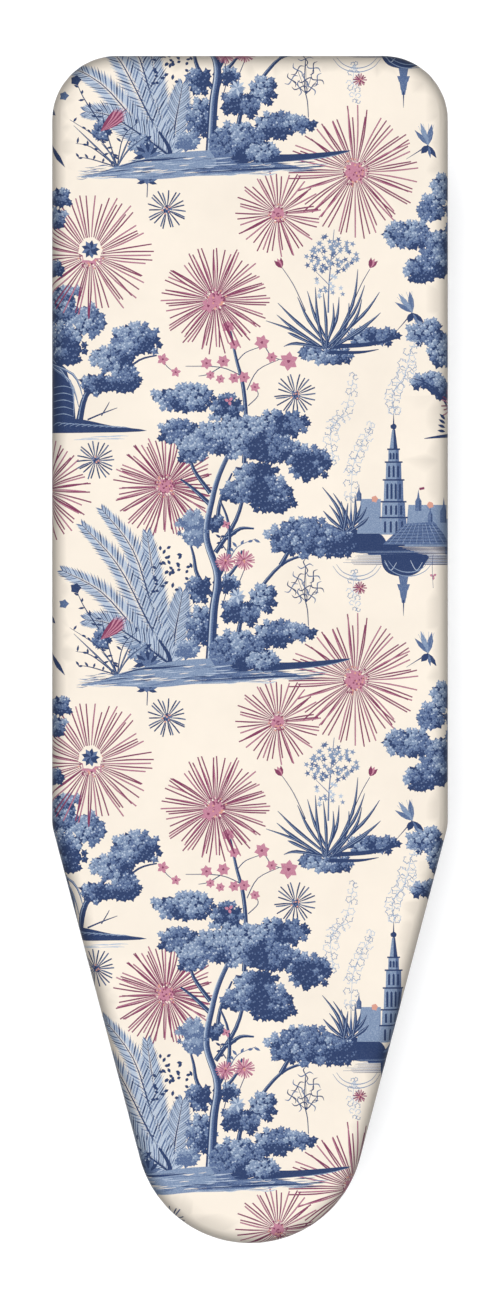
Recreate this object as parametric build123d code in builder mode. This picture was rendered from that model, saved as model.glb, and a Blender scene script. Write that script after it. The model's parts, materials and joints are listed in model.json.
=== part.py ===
from build123d import *
from math import asin, atan2, cos, hypot, radians, sin, sqrt, tan
import os

# Folding ironing board, standing open at its usual working height. Millimetres, +Z up.
# The origin is on the floor, below the middle of the top. The nose points to -Y, the square rear
# end to +Y, and +X is the side with the release lever.
#
# Two leg frames cross like scissors. The outer frame hangs on two fixed brackets near the rear end.
# The inner frame's top axle slides along a slotted channel towards the nose as the board folds. A
# rod on that axle runs through a tilting-plate clutch, which holds the board at any height until
# the lever squares the plate to the rod.

os.makedirs("parts", exist_ok=True)

# ------------------------------------------------------------------ driving dimensions: the top
LENGTH = 1200.0
WIDTH = 400.0
TOP_Z = 880.0  # ironing surface above the floor
REAR_RADIUS = 65.0  # corners of the square end
NOSE_RADIUS = 115.0  # one round arc makes the nose
SHOULDER_Y = -178.0  # where the straight sides start to taper
SHOULDER_RADIUS = 45.0

COVER_THICK = 1.2
COVER_TOP_ROLL = 9.0  # outer radius of the rolled top edge
COVER_HEM_ROLL = 8.0
COVER_DEPTH = 27.0
HEM_WIDTH = 28.0  # how far the hem is drawn in under the rim
BINDING_R = 2.6
BINDING_BORE_R = 1.7
BINDING_DROP = 1.0  # the binding's centre below the hem
ELASTIC_R = 1.5

PAD_THICK = 8.0
PAD_INSET = 2.0
PAD_ROLL = 7.0
GAP = 0.3  # between soft pieces that lie on each other

PANEL_THICK = 1.2
PANEL_INSET = 5.0
PERFORATION_R = 7.0
PERFORATION_PITCH = 28.0
PERFORATION_MARGIN = 30.0

RIM_R = 7.0
RIM_WALL = 1.2
RIM_INSET = 11.5

BRACE_YS = {
    "nose": -500.0,
    "front": -280.0,
    "channel": -75.0,
    "clutch": 25.0,
    "pivot": 420.0,
    "rear": 504.0,
}

# ------------------------------------------------------------------ driving dimensions: the legs
PIVOT_Y = 420.0  # fixed top pivot of the outer legs
PIVOT_Z = 828.0
LEG_LENGTH = 1020.0  # top pivot to foot bar
CROSSING = 468.0  # top pivot to the middle pivot, the same on both frames
FOOT_Z = 16.0  # foot bar's centre above the floor
TUBE_R = 11.0
TUBE_WALL = 1.2
OUTER_X = 100.0  # middle of each outer leg tube
INNER_X = 68.0
TUBE_TOP = 12.0  # tube past its top pivot
OUTER_FOOT_HALF = 170.0
INNER_FOOT_HALF = 186.0
BRACE_ALONG_LEG = 800.0  # top axle to the inner frame's cross tube
STRUT_R = 8.0

PIN_R = 4.0
RUNNING = 0.08  # radial clearance of a pin that turns in its hole
AXLE_R = 5.0
SHEET = 1.5  # thickness of the pressed steel brackets

# ------------------------------------------------------------------ worked out from the above
LEAN = asin((PIVOT_Z - FOOT_Z) / LEG_LENGTH)  # legs to the floor, open
AXLE_Y = PIVOT_Y - 2 * CROSSING * cos(LEAN)
CROSS_Y = PIVOT_Y - CROSSING * cos(LEAN)
CROSS_Z = PIVOT_Z - CROSSING * sin(LEAN)
OUTER_DOWN = Vector(0, -cos(LEAN), -sin(LEAN))
INNER_DOWN = Vector(0, cos(LEAN), -sin(LEAN))

PAD_TOP = TOP_Z - COVER_THICK - GAP
PANEL_TOP = PAD_TOP - PAD_THICK - GAP
RIM_Z = PANEL_TOP - PANEL_THICK - RIM_R
FRAME_Z = RIM_Z - RIM_R  # underside of the rim and braces, where the brackets are fixed

NOSE_CENTRE_Y = -LENGTH / 2 + NOSE_RADIUS
SHOULDER_TO_NOSE = hypot(WIDTH / 2, SHOULDER_Y - NOSE_CENTRE_Y)
TAPER = atan2(WIDTH / 2, SHOULDER_Y - NOSE_CENTRE_Y) - asin(NOSE_RADIUS / SHOULDER_TO_NOSE)


def outline(inset):
    """Corner points of the board's outline, moved inwards by inset, and each corner's radius."""
    half = WIDTH / 2 - inset
    rear = LENGTH / 2 - inset
    nose = NOSE_RADIUS - inset
    apex = NOSE_CENTRE_Y - nose / sin(TAPER)
    shoulder = apex + half / tan(TAPER)
    points = [(-half, rear), (half, rear), (half, shoulder), (0, apex), (-half, shoulder)]
    shoulder_radius = SHOULDER_RADIUS - inset
    radii = [REAR_RADIUS - inset, REAR_RADIUS - inset, shoulder_radius, nose, shoulder_radius]
    return points, radii


def half_width(inset, y):
    """Half the outline's width at y, moved inwards by inset, with its shoulders taken as sharp."""
    half = WIDTH / 2 - inset
    nose = NOSE_RADIUS - inset
    corner = REAR_RADIUS - inset
    corner_start = LENGTH / 2 - REAR_RADIUS
    if y > corner_start:
        return half - corner + sqrt(max(corner**2 - (y - corner_start) ** 2, 0))
    if y < NOSE_CENTRE_Y - nose * sin(TAPER):
        return sqrt(max(nose**2 - (y - NOSE_CENTRE_Y) ** 2, 0))
    apex = NOSE_CENTRE_Y - nose / sin(TAPER)
    return min(half, (y - apex) * tan(TAPER))


def write(piece, label):
    """Labels a finished piece and writes it as its own STEP file."""
    piece.part.label = label
    export_step(piece.part, f"parts/{label}.step")


# ------------------------------------------------------------------ the cover, its hem and the pad
with BuildPart() as cover_inside:
    with BuildSketch(Plane.XY.offset(TOP_Z - COVER_DEPTH + COVER_THICK)):
        with BuildLine():
            corners, corner_radii = outline(COVER_THICK)
            FilletPolyline(*corners, radius=corner_radii, close=True)
        make_face()
    extrude(amount=COVER_DEPTH - 2 * COVER_THICK)
    fillet(cover_inside.faces().sort_by(Axis.Z)[-1].edges(), radius=COVER_TOP_ROLL - COVER_THICK)
    fillet(cover_inside.faces().sort_by(Axis.Z)[0].edges(), radius=COVER_HEM_ROLL - COVER_THICK)

with BuildPart() as cover:
    with BuildSketch(Plane.XY.offset(TOP_Z - COVER_DEPTH)):
        with BuildLine():
            corners, corner_radii = outline(0)
            FilletPolyline(*corners, radius=corner_radii, close=True)
        make_face()
    extrude(amount=COVER_DEPTH)
    fillet(cover.faces().sort_by(Axis.Z)[-1].edges(), radius=COVER_TOP_ROLL)
    fillet(cover.faces().sort_by(Axis.Z)[0].edges(), radius=COVER_HEM_ROLL)
    add(cover_inside.part, mode=Mode.SUBTRACT)
    with BuildSketch(Plane.XY.offset(TOP_Z - COVER_DEPTH)):
        with BuildLine():
            corners, corner_radii = outline(HEM_WIDTH)
            FilletPolyline(*corners, radius=corner_radii, close=True)
        make_face()
    extrude(amount=COVER_THICK, mode=Mode.SUBTRACT)
write(cover, "cover")


def ring(inset, z, outer_r, inner_r=0):
    """A round cord or tube that follows the outline, moved inwards by inset, at height z."""
    with BuildPart() as piece:
        with BuildLine(Plane.XY.offset(z)) as path:
            points, radii = outline(inset)
            FilletPolyline(*points, radius=radii, close=True)
        start = Plane(path.wire() @ 0, z_dir=path.wire() % 0)
        with BuildSketch(start):
            Circle(outer_r)
        sweep(path=path.wire())
        if inner_r:
            with BuildSketch(start):
                Circle(inner_r)
            sweep(path=path.wire(), mode=Mode.SUBTRACT)
    return piece


BINDING_INSET = HEM_WIDTH + BINDING_R
BINDING_Z = TOP_Z - COVER_DEPTH - BINDING_DROP
write(ring(BINDING_INSET, BINDING_Z, BINDING_R, BINDING_BORE_R), "hem_binding")
write(ring(BINDING_INSET, BINDING_Z, ELASTIC_R), "hem_elastic")

with BuildPart() as foam_pad:
    with BuildSketch(Plane.XY.offset(PAD_TOP - PAD_THICK)):
        with BuildLine():
            corners, corner_radii = outline(PAD_INSET)
            FilletPolyline(*corners, radius=corner_radii, close=True)
        make_face()
    extrude(amount=PAD_THICK)
    fillet(foam_pad.faces().sort_by(Axis.Z)[-1].edges(), radius=PAD_ROLL)
write(foam_pad, "foam_pad")

# ------------------------------------------------------------------ the perforated top and its rim
row_pitch = PERFORATION_PITCH * sqrt(3) / 2
last_row = int(LENGTH / 2 / row_pitch)
last_column = int(WIDTH / 2 / PERFORATION_PITCH) + 1
holes = []
for row in range(-last_row, last_row + 1):
    for column in range(-last_column, last_column + 1):
        hole_x = (column + (row % 2) / 2) * PERFORATION_PITCH
        hole_y = row * row_pitch
        inside_ends = abs(hole_y) < LENGTH / 2 - PERFORATION_MARGIN
        if inside_ends and abs(hole_x) < half_width(PERFORATION_MARGIN, hole_y):
            holes.append((hole_x, hole_y))

with BuildPart() as mesh_panel:
    with BuildSketch(Plane.XY.offset(PANEL_TOP - PANEL_THICK)):
        with BuildLine():
            corners, corner_radii = outline(PANEL_INSET)
            FilletPolyline(*corners, radius=corner_radii, close=True)
        make_face()
        with Locations(*holes):
            Circle(PERFORATION_R, mode=Mode.SUBTRACT)
    extrude(amount=PANEL_THICK)
write(mesh_panel, "mesh_panel")

write(ring(RIM_INSET, RIM_Z, RIM_R, RIM_R - RIM_WALL), "rim_tube")
rim_envelope = ring(RIM_INSET, RIM_Z, RIM_R)

# Blind rivets come up through the brackets into the underside of the braces.
RIVET_R = 2.0
RIVET_HEAD_R = 4.0
RIVET_HEAD = 2.0
RIVET_GRIP = 3.0
PIVOT_RIVET_X = OUTER_X
CLUTCH_RIVET_X = 14.0
LEVER_RIVET_X = 60.0
rivets = {
    "nose": [0],
    "front": [0],
    "channel": [0],
    "clutch": [-CLUTCH_RIVET_X, CLUTCH_RIVET_X, LEVER_RIVET_X],
    "pivot": [-PIVOT_RIVET_X, PIVOT_RIVET_X],
    "rear": [],
}
for name, y in BRACE_YS.items():
    with BuildPart() as brace:
        with BuildSketch(Plane.YZ.offset(-half_width(RIM_INSET, y))):
            with Locations((y, RIM_Z)):
                Circle(RIM_R)
                Circle(RIM_R - RIM_WALL, mode=Mode.SUBTRACT)
        extrude(amount=2 * half_width(RIM_INSET, y))
        add(rim_envelope.part, mode=Mode.SUBTRACT)
        for rivet_x in rivets[name]:
            with Locations((rivet_x, y, FRAME_Z)):
                Cylinder(RIVET_R + RUNNING, RIM_R, mode=Mode.SUBTRACT)
    write(brace, f"cross_brace_{name}")

# ------------------------------------------------------------------ the slide channel and brackets
CHANNEL_HALF = 40.0
CHANNEL_LOW_Z = PIVOT_Z - 13.0
CHANNEL_NOSE_Y = -545.0
CHANNEL_REAR_Y = -48.0
SLOT_NOSE_Y = -532.0
SLOT_REAR_Y = -60.0
SLOT_CLEAR = 0.5  # radial clearance of the axle in its slots
SLOT_R = AXLE_R + SLOT_CLEAR
with BuildPart() as slide_channel:
    with BuildSketch(Plane.XZ.offset(-CHANNEL_REAR_Y)):
        with Locations((0, (FRAME_Z + CHANNEL_LOW_Z) / 2)):
            Rectangle(2 * CHANNEL_HALF, FRAME_Z - CHANNEL_LOW_Z)
        with Locations((0, (FRAME_Z + CHANNEL_LOW_Z) / 2 - SHEET)):
            Rectangle(2 * (CHANNEL_HALF - SHEET), FRAME_Z - CHANNEL_LOW_Z, mode=Mode.SUBTRACT)
    extrude(amount=CHANNEL_REAR_Y - CHANNEL_NOSE_Y)
    with BuildSketch(Plane.YZ.offset(-CHANNEL_HALF)):
        with Locations(((SLOT_NOSE_Y + SLOT_REAR_Y) / 2, PIVOT_Z)):
            SlotOverall(SLOT_REAR_Y - SLOT_NOSE_Y, 2 * SLOT_R)
    extrude(amount=2 * CHANNEL_HALF, mode=Mode.SUBTRACT)
    for name in ("nose", "front", "channel"):
        with Locations((0, BRACE_YS[name], FRAME_Z)):
            Cylinder(RIVET_R + RUNNING, 3 * SHEET, mode=Mode.SUBTRACT)
write(slide_channel, "slide_channel")

EAR_OUT = 14.0  # outside of a bracket's ear from the middle of the leg tube
EAR_R = 12.0
for side, sign in (("left", -1), ("right", 1)):
    with BuildPart() as bracket:
        with BuildSketch(Plane.YZ.offset(sign * OUTER_X - EAR_OUT)):
            with Locations((PIVOT_Y, PIVOT_Z)):
                Circle(EAR_R)
            with Locations((PIVOT_Y, (FRAME_Z + PIVOT_Z) / 2)):
                Rectangle(2 * EAR_R, FRAME_Z - PIVOT_Z)
        extrude(amount=2 * EAR_OUT)
        with Locations((sign * OUTER_X, PIVOT_Y, FRAME_Z - SHEET)):
            Box(
                2 * (EAR_OUT - SHEET), 4 * EAR_R, FRAME_Z - PIVOT_Z + 2 * EAR_R,
                align=(Align.CENTER, Align.CENTER, Align.MAX), mode=Mode.SUBTRACT,
            )
        with Locations((sign * OUTER_X, PIVOT_Y, PIVOT_Z)):
            Cylinder(PIN_R, 3 * EAR_OUT, rotation=(0, 90, 0), mode=Mode.SUBTRACT)
        with Locations((sign * OUTER_X, PIVOT_Y, FRAME_Z)):
            Cylinder(RIVET_R + RUNNING, 3 * SHEET, mode=Mode.SUBTRACT)
    write(bracket, f"pivot_bracket_{side}")

PIN_HEAD_R = 6.5
PIN_HEAD = 2.0
with BuildPart() as pivot_pins:
    for sign in (-1, 1):
        with BuildSketch(Plane.YZ.offset(sign * OUTER_X - EAR_OUT)):
            with Locations((PIVOT_Y, PIVOT_Z)):
                Circle(PIN_R)
        extrude(amount=2 * EAR_OUT)
        for head_x in (sign * OUTER_X - EAR_OUT - PIN_HEAD, sign * OUTER_X + EAR_OUT):
            with BuildSketch(Plane.YZ.offset(head_x)):
                with Locations((PIVOT_Y, PIVOT_Z)):
                    Circle(PIN_HEAD_R)
            extrude(amount=PIN_HEAD)
write(pivot_pins, "pivot_pins")

# ------------------------------------------------------------------ the clutch and its lever
CLUTCH_HALF = 24.0
CLUTCH_NOSE_Y = 0.0
CLUTCH_REAR_Y = 50.0
CLUTCH_LOW_Z = PIVOT_Z - 16.0
CLUTCH_WALL = 2.5
CLUTCH_CORNER_R = 4.0
PLATE_PIN_Y = 24.0
PLATE_PIN_Z = PIVOT_Z - 11.0
PLATE_PIN_R = 2.0
PLATE_PIN_HEAD_R = 3.6
PLATE_LEAN = 8.0
PLATE_THICK = 8.0
PLATE_HALF = 15.0
PLATE_TOP = 34.0  # above its pin
PLATE_FOOT = 3.6  # below its pin
PLATE_HOLE_R = 6.1
LEVER_Z = PIVOT_Z + 15.0
LEVER_THICK = 4.0
LEVER_ARM = 8.0  # width of the arm
LEVER_PIVOT_X = 48.0
LEVER_PIVOT_Y = 11.0
LEVER_PIN_R = 3.0
LEVER_WINDOW_Y = 13.0  # middle of the lever's window in the housing
LEVER_WINDOW_LONG = 19.2
LEVER_WINDOW_HIGH = 8.0
ROD_R = 5.0
ROD_CLEAR = 0.5  # radial clearance of the rod in the housing

with BuildPart() as clutch_housing:
    with Locations((0, (CLUTCH_NOSE_Y + CLUTCH_REAR_Y) / 2, FRAME_Z)):
        Box(
            2 * CLUTCH_HALF, CLUTCH_REAR_Y - CLUTCH_NOSE_Y, FRAME_Z - CLUTCH_LOW_Z,
            align=(Align.CENTER, Align.CENTER, Align.MAX),
        )
    fillet(clutch_housing.edges().filter_by(Axis.Z), radius=CLUTCH_CORNER_R)
    with Locations((0, (CLUTCH_NOSE_Y + CLUTCH_REAR_Y) / 2, FRAME_Z - SHEET)):
        Box(
            2 * (CLUTCH_HALF - CLUTCH_WALL),
            CLUTCH_REAR_Y - CLUTCH_NOSE_Y - 2 * CLUTCH_WALL,
            FRAME_Z - CLUTCH_LOW_Z,
            align=(Align.CENTER, Align.CENTER, Align.MAX), mode=Mode.SUBTRACT,
        )
    with Locations((0, CLUTCH_REAR_Y / 2, PIVOT_Z)):
        Cylinder(ROD_R + ROD_CLEAR, 2 * CLUTCH_REAR_Y, rotation=(90, 0, 0), mode=Mode.SUBTRACT)
    with Locations((0, PLATE_PIN_Y, PLATE_PIN_Z)):
        Cylinder(PLATE_PIN_R, 3 * CLUTCH_HALF, rotation=(0, 90, 0), mode=Mode.SUBTRACT)
    with Locations((CLUTCH_HALF, LEVER_WINDOW_Y, LEVER_Z + LEVER_THICK / 2)):
        Box(3 * CLUTCH_WALL, LEVER_WINDOW_LONG, LEVER_WINDOW_HIGH, mode=Mode.SUBTRACT)
    for rivet_x in (-CLUTCH_RIVET_X, CLUTCH_RIVET_X):
        with Locations((rivet_x, BRACE_YS["clutch"], FRAME_Z)):
            Cylinder(RIVET_R + RUNNING, 3 * SHEET, mode=Mode.SUBTRACT)
write(clutch_housing, "clutch_housing")

with BuildPart() as clutch_pin:
    with BuildSketch(Plane.YZ.offset(-CLUTCH_HALF)):
        with Locations((PLATE_PIN_Y, PLATE_PIN_Z)):
            Circle(PLATE_PIN_R)
    extrude(amount=2 * CLUTCH_HALF)
    for head_x in (-CLUTCH_HALF - PIN_HEAD, CLUTCH_HALF):
        with BuildSketch(Plane.YZ.offset(head_x)):
            with Locations((PLATE_PIN_Y, PLATE_PIN_Z)):
                Circle(PLATE_PIN_HEAD_R)
        extrude(amount=PIN_HEAD)
write(clutch_pin, "clutch_pin")

# The clutch plate leans towards the nose about its pin, and its hole lets the rod pass at that lean.
plate_plane = Plane(
    origin=(0, PLATE_PIN_Y, PLATE_PIN_Z),
    x_dir=(1, 0, 0),
    z_dir=(0, cos(radians(PLATE_LEAN)), sin(radians(PLATE_LEAN))),
)
with BuildPart() as clutch_plate:
    with BuildSketch(plate_plane.offset(-PLATE_THICK / 2)):
        with Locations((0, -(PLATE_TOP - PLATE_FOOT) / 2)):
            Rectangle(2 * PLATE_HALF, PLATE_TOP + PLATE_FOOT)
    extrude(amount=PLATE_THICK)
    with Locations((0, PLATE_PIN_Y, PIVOT_Z)):
        Cylinder(
            PLATE_HOLE_R, 3 * PLATE_THICK, rotation=(90 + PLATE_LEAN, 0, 0), mode=Mode.SUBTRACT,
        )
    with Locations((0, PLATE_PIN_Y, PLATE_PIN_Z)):
        Cylinder(PLATE_PIN_R + RUNNING, 3 * PLATE_HALF, rotation=(0, 90, 0), mode=Mode.SUBTRACT)
write(clutch_plate, "clutch_plate")

SPRING_R = 8.0
SPRING_WIRE_R = 0.8
SPRING_NOSE_Y = 32.5
SPRING_GAP = 0.1  # between the last coil and the housing's wall
SPRING_REAR_Y = CLUTCH_REAR_Y - CLUTCH_WALL - SPRING_WIRE_R - SPRING_GAP
SPRING_TURNS = 4
with BuildPart() as clutch_spring:
    with BuildLine() as spring_path:
        Helix(
            pitch=(SPRING_REAR_Y - SPRING_NOSE_Y) / SPRING_TURNS,
            height=SPRING_REAR_Y - SPRING_NOSE_Y,
            radius=SPRING_R,
            center=(0, SPRING_NOSE_Y, PIVOT_Z),
            direction=(0, 1, 0),
        )
    with BuildSketch(Plane(spring_path.wire() @ 0, z_dir=spring_path.wire() % 0)):
        Circle(SPRING_WIRE_R)
    sweep(path=spring_path.wire(), is_frenet=True)
write(clutch_spring, "clutch_spring")

LEVER_BRACKET_HALF = 18.0
LEVER_BRACKET_X = 52.0
LEVER_BRACKET_Y = 18.0
LEVER_BRACKET_CORNER_R = 5.0
with BuildPart() as lever_bracket:
    with BuildSketch(Plane.XY.offset(FRAME_Z - SHEET)):
        with Locations((LEVER_BRACKET_X, LEVER_BRACKET_Y)):
            RectangleRounded(2 * LEVER_BRACKET_HALF, 2 * LEVER_BRACKET_HALF, LEVER_BRACKET_CORNER_R)
        with Locations((LEVER_PIVOT_X, LEVER_PIVOT_Y)):
            Circle(LEVER_PIN_R, mode=Mode.SUBTRACT)
        with Locations((LEVER_RIVET_X, BRACE_YS["clutch"])):
            Circle(RIVET_R + RUNNING, mode=Mode.SUBTRACT)
    extrude(amount=SHEET)
write(lever_bracket, "lever_bracket")

LEVER_PIN_HEAD_R = 5.0
with BuildPart() as lever_pin:
    with BuildSketch(Plane.XY.offset(LEVER_Z - GAP)):
        with Locations((LEVER_PIVOT_X, LEVER_PIVOT_Y)):
            Circle(LEVER_PIN_R)
    extrude(amount=FRAME_Z - LEVER_Z + GAP)
    for head_z in (LEVER_Z - GAP - PIN_HEAD, FRAME_Z):
        with BuildSketch(Plane.XY.offset(head_z)):
            with Locations((LEVER_PIVOT_X, LEVER_PIVOT_Y)):
                Circle(LEVER_PIN_HEAD_R)
        extrude(amount=PIN_HEAD)
    with BuildSketch(Plane.XY.offset(LEVER_Z + LEVER_THICK + GAP)):
        with Locations((LEVER_PIVOT_X, LEVER_PIVOT_Y)):
            Circle(LEVER_PIN_HEAD_R)
    extrude(amount=FRAME_Z - SHEET - LEVER_Z - LEVER_THICK - GAP)
write(lever_pin, "lever_pin")

LEVER_BOSS_R = 8.0
LEVER_ELBOW = (104.0, 24.0)
LEVER_LAST_BEND_Y = 42.0
LEVER_BEND_RADII = (40, 60, 22)
GRIP_X = 158.0
GRIP_START_Y = 62.0
GRIP_END_Y = 152.0
with BuildPart() as release_lever:
    with BuildSketch(Plane.XY.offset(LEVER_Z)):
        with BuildLine():
            FilletPolyline(
                (0, LEVER_PIVOT_Y), (LEVER_PIVOT_X, LEVER_PIVOT_Y), LEVER_ELBOW,
                (GRIP_X, LEVER_LAST_BEND_Y), (GRIP_X, GRIP_END_Y), radius=LEVER_BEND_RADII,
            )
            offset(amount=LEVER_ARM / 2, side=Side.BOTH, closed=True)
        make_face()
        with Locations((LEVER_PIVOT_X, LEVER_PIVOT_Y)):
            Circle(LEVER_BOSS_R)
            Circle(LEVER_PIN_R + RUNNING, mode=Mode.SUBTRACT)
    extrude(amount=LEVER_THICK)
write(release_lever, "release_lever")

GRIP_DEEP = 13.0
GRIP_WIDE = 20.0
GRIP_END_WALL = 5.0
GRIP_COVER = 1.0  # plastic above the lever's steel
GRIP_CORNER_R = 8.0
GRIP_EDGE_R = 5.0
grip_middle_y = (GRIP_START_Y + GRIP_END_Y + GRIP_END_WALL) / 2
with BuildPart() as lever_grip:
    with Locations((GRIP_X, grip_middle_y, LEVER_Z + LEVER_THICK + GRIP_COVER)):
        Box(
            GRIP_WIDE, GRIP_END_Y + GRIP_END_WALL - GRIP_START_Y, GRIP_DEEP,
            align=(Align.CENTER, Align.CENTER, Align.MAX),
        )
    fillet(lever_grip.edges().filter_by(Axis.Z), radius=GRIP_CORNER_R)
    fillet(lever_grip.faces().sort_by(Axis.Z)[0].edges(), radius=GRIP_EDGE_R)
    add(release_lever.part, mode=Mode.SUBTRACT)
write(lever_grip, "lever_grip")

with BuildPart() as frame_rivets:
    for name, xs in rivets.items():
        for rivet_x in xs:
            place = (rivet_x, BRACE_YS[name])
            with BuildSketch(Plane.XY.offset(FRAME_Z - SHEET)):
                with Locations(place):
                    Circle(RIVET_R)
            extrude(amount=RIVET_GRIP)
            with BuildSketch(Plane.XY.offset(FRAME_Z - SHEET - RIVET_HEAD)):
                with Locations(place):
                    Circle(RIVET_HEAD_R)
            extrude(amount=RIVET_HEAD)
write(frame_rivets, "frame_rivets")

# ------------------------------------------------------------------ the transport clips
CLIP_X = 130.0
CLIP_HALF = 10.0
CLIP_WALL = 3.5
CLIP_GAP = 0.5  # between the folded foot bar and the clip
CLIP_LOW_Z = PIVOT_Z - 6.0
CLIP_TOP_Z = RIM_Z + 4.0
CLIP_CORNER_R = 3.0
CLIP_BORE_CLEAR = 0.05
for side, sign in (("left", -1), ("right", 1)):
    with BuildPart() as clip:
        with BuildSketch(Plane.YZ.offset(sign * CLIP_X - CLIP_HALF)):
            with Locations((BRACE_YS["rear"], (CLIP_TOP_Z + CLIP_LOW_Z) / 2)):
                RectangleRounded(2 * (TUBE_R + CLIP_GAP + CLIP_WALL), CLIP_TOP_Z - CLIP_LOW_Z, CLIP_CORNER_R)
            with Locations((BRACE_YS["rear"], PIVOT_Z)):
                Circle(TUBE_R + CLIP_GAP, mode=Mode.SUBTRACT)
            with Locations((BRACE_YS["rear"], PIVOT_Z - TUBE_R)):
                Rectangle(2 * (TUBE_R + CLIP_GAP), 2 * TUBE_R, mode=Mode.SUBTRACT)
            with Locations((BRACE_YS["rear"], RIM_Z)):
                Circle(RIM_R + CLIP_BORE_CLEAR, mode=Mode.SUBTRACT)
        extrude(amount=2 * CLIP_HALF)
    write(clip, f"transport_clip_{side}")

# ------------------------------------------------------------------ the leg frames
CAP_R = 14.5
CAP_LENGTH = 34.0
CAP_END = 3.0  # plastic past the end of the bar
CAP_EDGE_R = 2.0
SOLE_WIDTH = 22.0
PLUG_CAP = 2.0
PLUG_STEM = 6.5
PLUG_CLEAR = 0.1


def leg_tube(x, top, down, top_hole_r, cross_hole_r):
    """One leg tube, from past its top pivot to the foot bar, drilled for its pivots."""
    with BuildPart() as piece:
        with BuildSketch(Plane(origin=top - down * TUBE_TOP, x_dir=(1, 0, 0), z_dir=down)):
            with Locations((x, 0)):
                Circle(TUBE_R)
                Circle(TUBE_R - TUBE_WALL, mode=Mode.SUBTRACT)
        extrude(amount=TUBE_TOP + LEG_LENGTH)
        foot = top + down * LEG_LENGTH
        with Locations((x, foot.Y, foot.Z)):
            Cylinder(TUBE_R, 4 * TUBE_R, rotation=(0, 90, 0), mode=Mode.SUBTRACT)
        with Locations((x, top.Y, top.Z)):
            Cylinder(top_hole_r, 4 * TUBE_R, rotation=(0, 90, 0), mode=Mode.SUBTRACT)
        with Locations((x, CROSS_Y, CROSS_Z)):
            Cylinder(cross_hole_r, 4 * TUBE_R, rotation=(0, 90, 0), mode=Mode.SUBTRACT)
    return piece


def foot_bar(foot, half):
    """The tube across the bottom of a leg frame."""
    with BuildPart() as piece:
        with BuildSketch(Plane.YZ.offset(-half)):
            with Locations((foot.Y, foot.Z)):
                Circle(TUBE_R)
                Circle(TUBE_R - TUBE_WALL, mode=Mode.SUBTRACT)
        extrude(amount=2 * half)
    return piece


def foot_caps(foot, half):
    """The two plastic end caps of a foot bar, each with a flat sole on the floor."""
    with BuildPart() as piece:
        for sign in (-1, 1):
            outer = sign * (half + CAP_END)
            inner = sign * (half + CAP_END - CAP_LENGTH)
            with BuildSketch(Plane.YZ.offset(min(outer, inner))):
                with Locations((foot.Y, foot.Z)):
                    Circle(CAP_R)
                with Locations((foot.Y, foot.Z / 2)):
                    Rectangle(SOLE_WIDTH, foot.Z)
            extrude(amount=CAP_LENGTH)
        fillet(piece.faces().sort_by(Axis.X)[0].edges(), radius=CAP_EDGE_R)
        fillet(piece.faces().sort_by(Axis.X)[-1].edges(), radius=CAP_EDGE_R)
        with BuildSketch(Plane.YZ.offset(-half)):
            with Locations((foot.Y, foot.Z)):
                Circle(TUBE_R)
        extrude(amount=2 * half, mode=Mode.SUBTRACT)
    return piece


def tube_plugs(middle_x, top, down):
    """The two plastic plugs in the open top ends of a leg frame's tubes."""
    end = Plane(origin=top - down * TUBE_TOP, x_dir=(1, 0, 0), z_dir=down)
    with BuildPart() as piece:
        for sign in (-1, 1):
            with BuildSketch(end):
                with Locations((sign * middle_x, 0)):
                    Circle(TUBE_R - TUBE_WALL - PLUG_CLEAR)
            extrude(amount=PLUG_STEM)
            with BuildSketch(end):
                with Locations((sign * middle_x, 0)):
                    Circle(TUBE_R)
            extrude(amount=-PLUG_CAP)
    return piece


outer_top = Vector(0, PIVOT_Y, PIVOT_Z)
inner_top = Vector(0, AXLE_Y, PIVOT_Z)
outer_foot = outer_top + OUTER_DOWN * LEG_LENGTH
inner_foot = inner_top + INNER_DOWN * LEG_LENGTH
frames = {
    "outer": (OUTER_X, outer_top, OUTER_DOWN, outer_foot, OUTER_FOOT_HALF, PIN_R + RUNNING, PIN_R),
    "inner": (INNER_X, inner_top, INNER_DOWN, inner_foot, INNER_FOOT_HALF, AXLE_R, PIN_R + RUNNING),
}
for frame_name, (x, top, down, foot, half, top_hole, cross_hole) in frames.items():
    for side, sign in (("left", -1), ("right", 1)):
        write(leg_tube(sign * x, top, down, top_hole, cross_hole), f"{frame_name}_leg_{side}")
    write(foot_bar(foot, half), f"{frame_name}_foot_bar")
    write(foot_caps(foot, half), f"{frame_name}_foot_caps")
    write(tube_plugs(x, top, down), f"{frame_name}_tube_plugs")

# The inner frame's cross tube keeps its two leg tubes apart.
strut_place = inner_top + INNER_DOWN * BRACE_ALONG_LEG
with BuildPart() as inner_strut:
    with BuildSketch(Plane.YZ.offset(-INNER_X)):
        with Locations((strut_place.Y, strut_place.Z)):
            Circle(STRUT_R)
            Circle(STRUT_R - TUBE_WALL, mode=Mode.SUBTRACT)
    extrude(amount=2 * INNER_X)
    for sign in (-1, 1):
        with BuildSketch(Plane(origin=inner_top, x_dir=(1, 0, 0), z_dir=INNER_DOWN)):
            with Locations((sign * INNER_X, 0)):
                Circle(TUBE_R)
        extrude(amount=LEG_LENGTH, mode=Mode.SUBTRACT)
write(inner_strut, "inner_strut")

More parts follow.
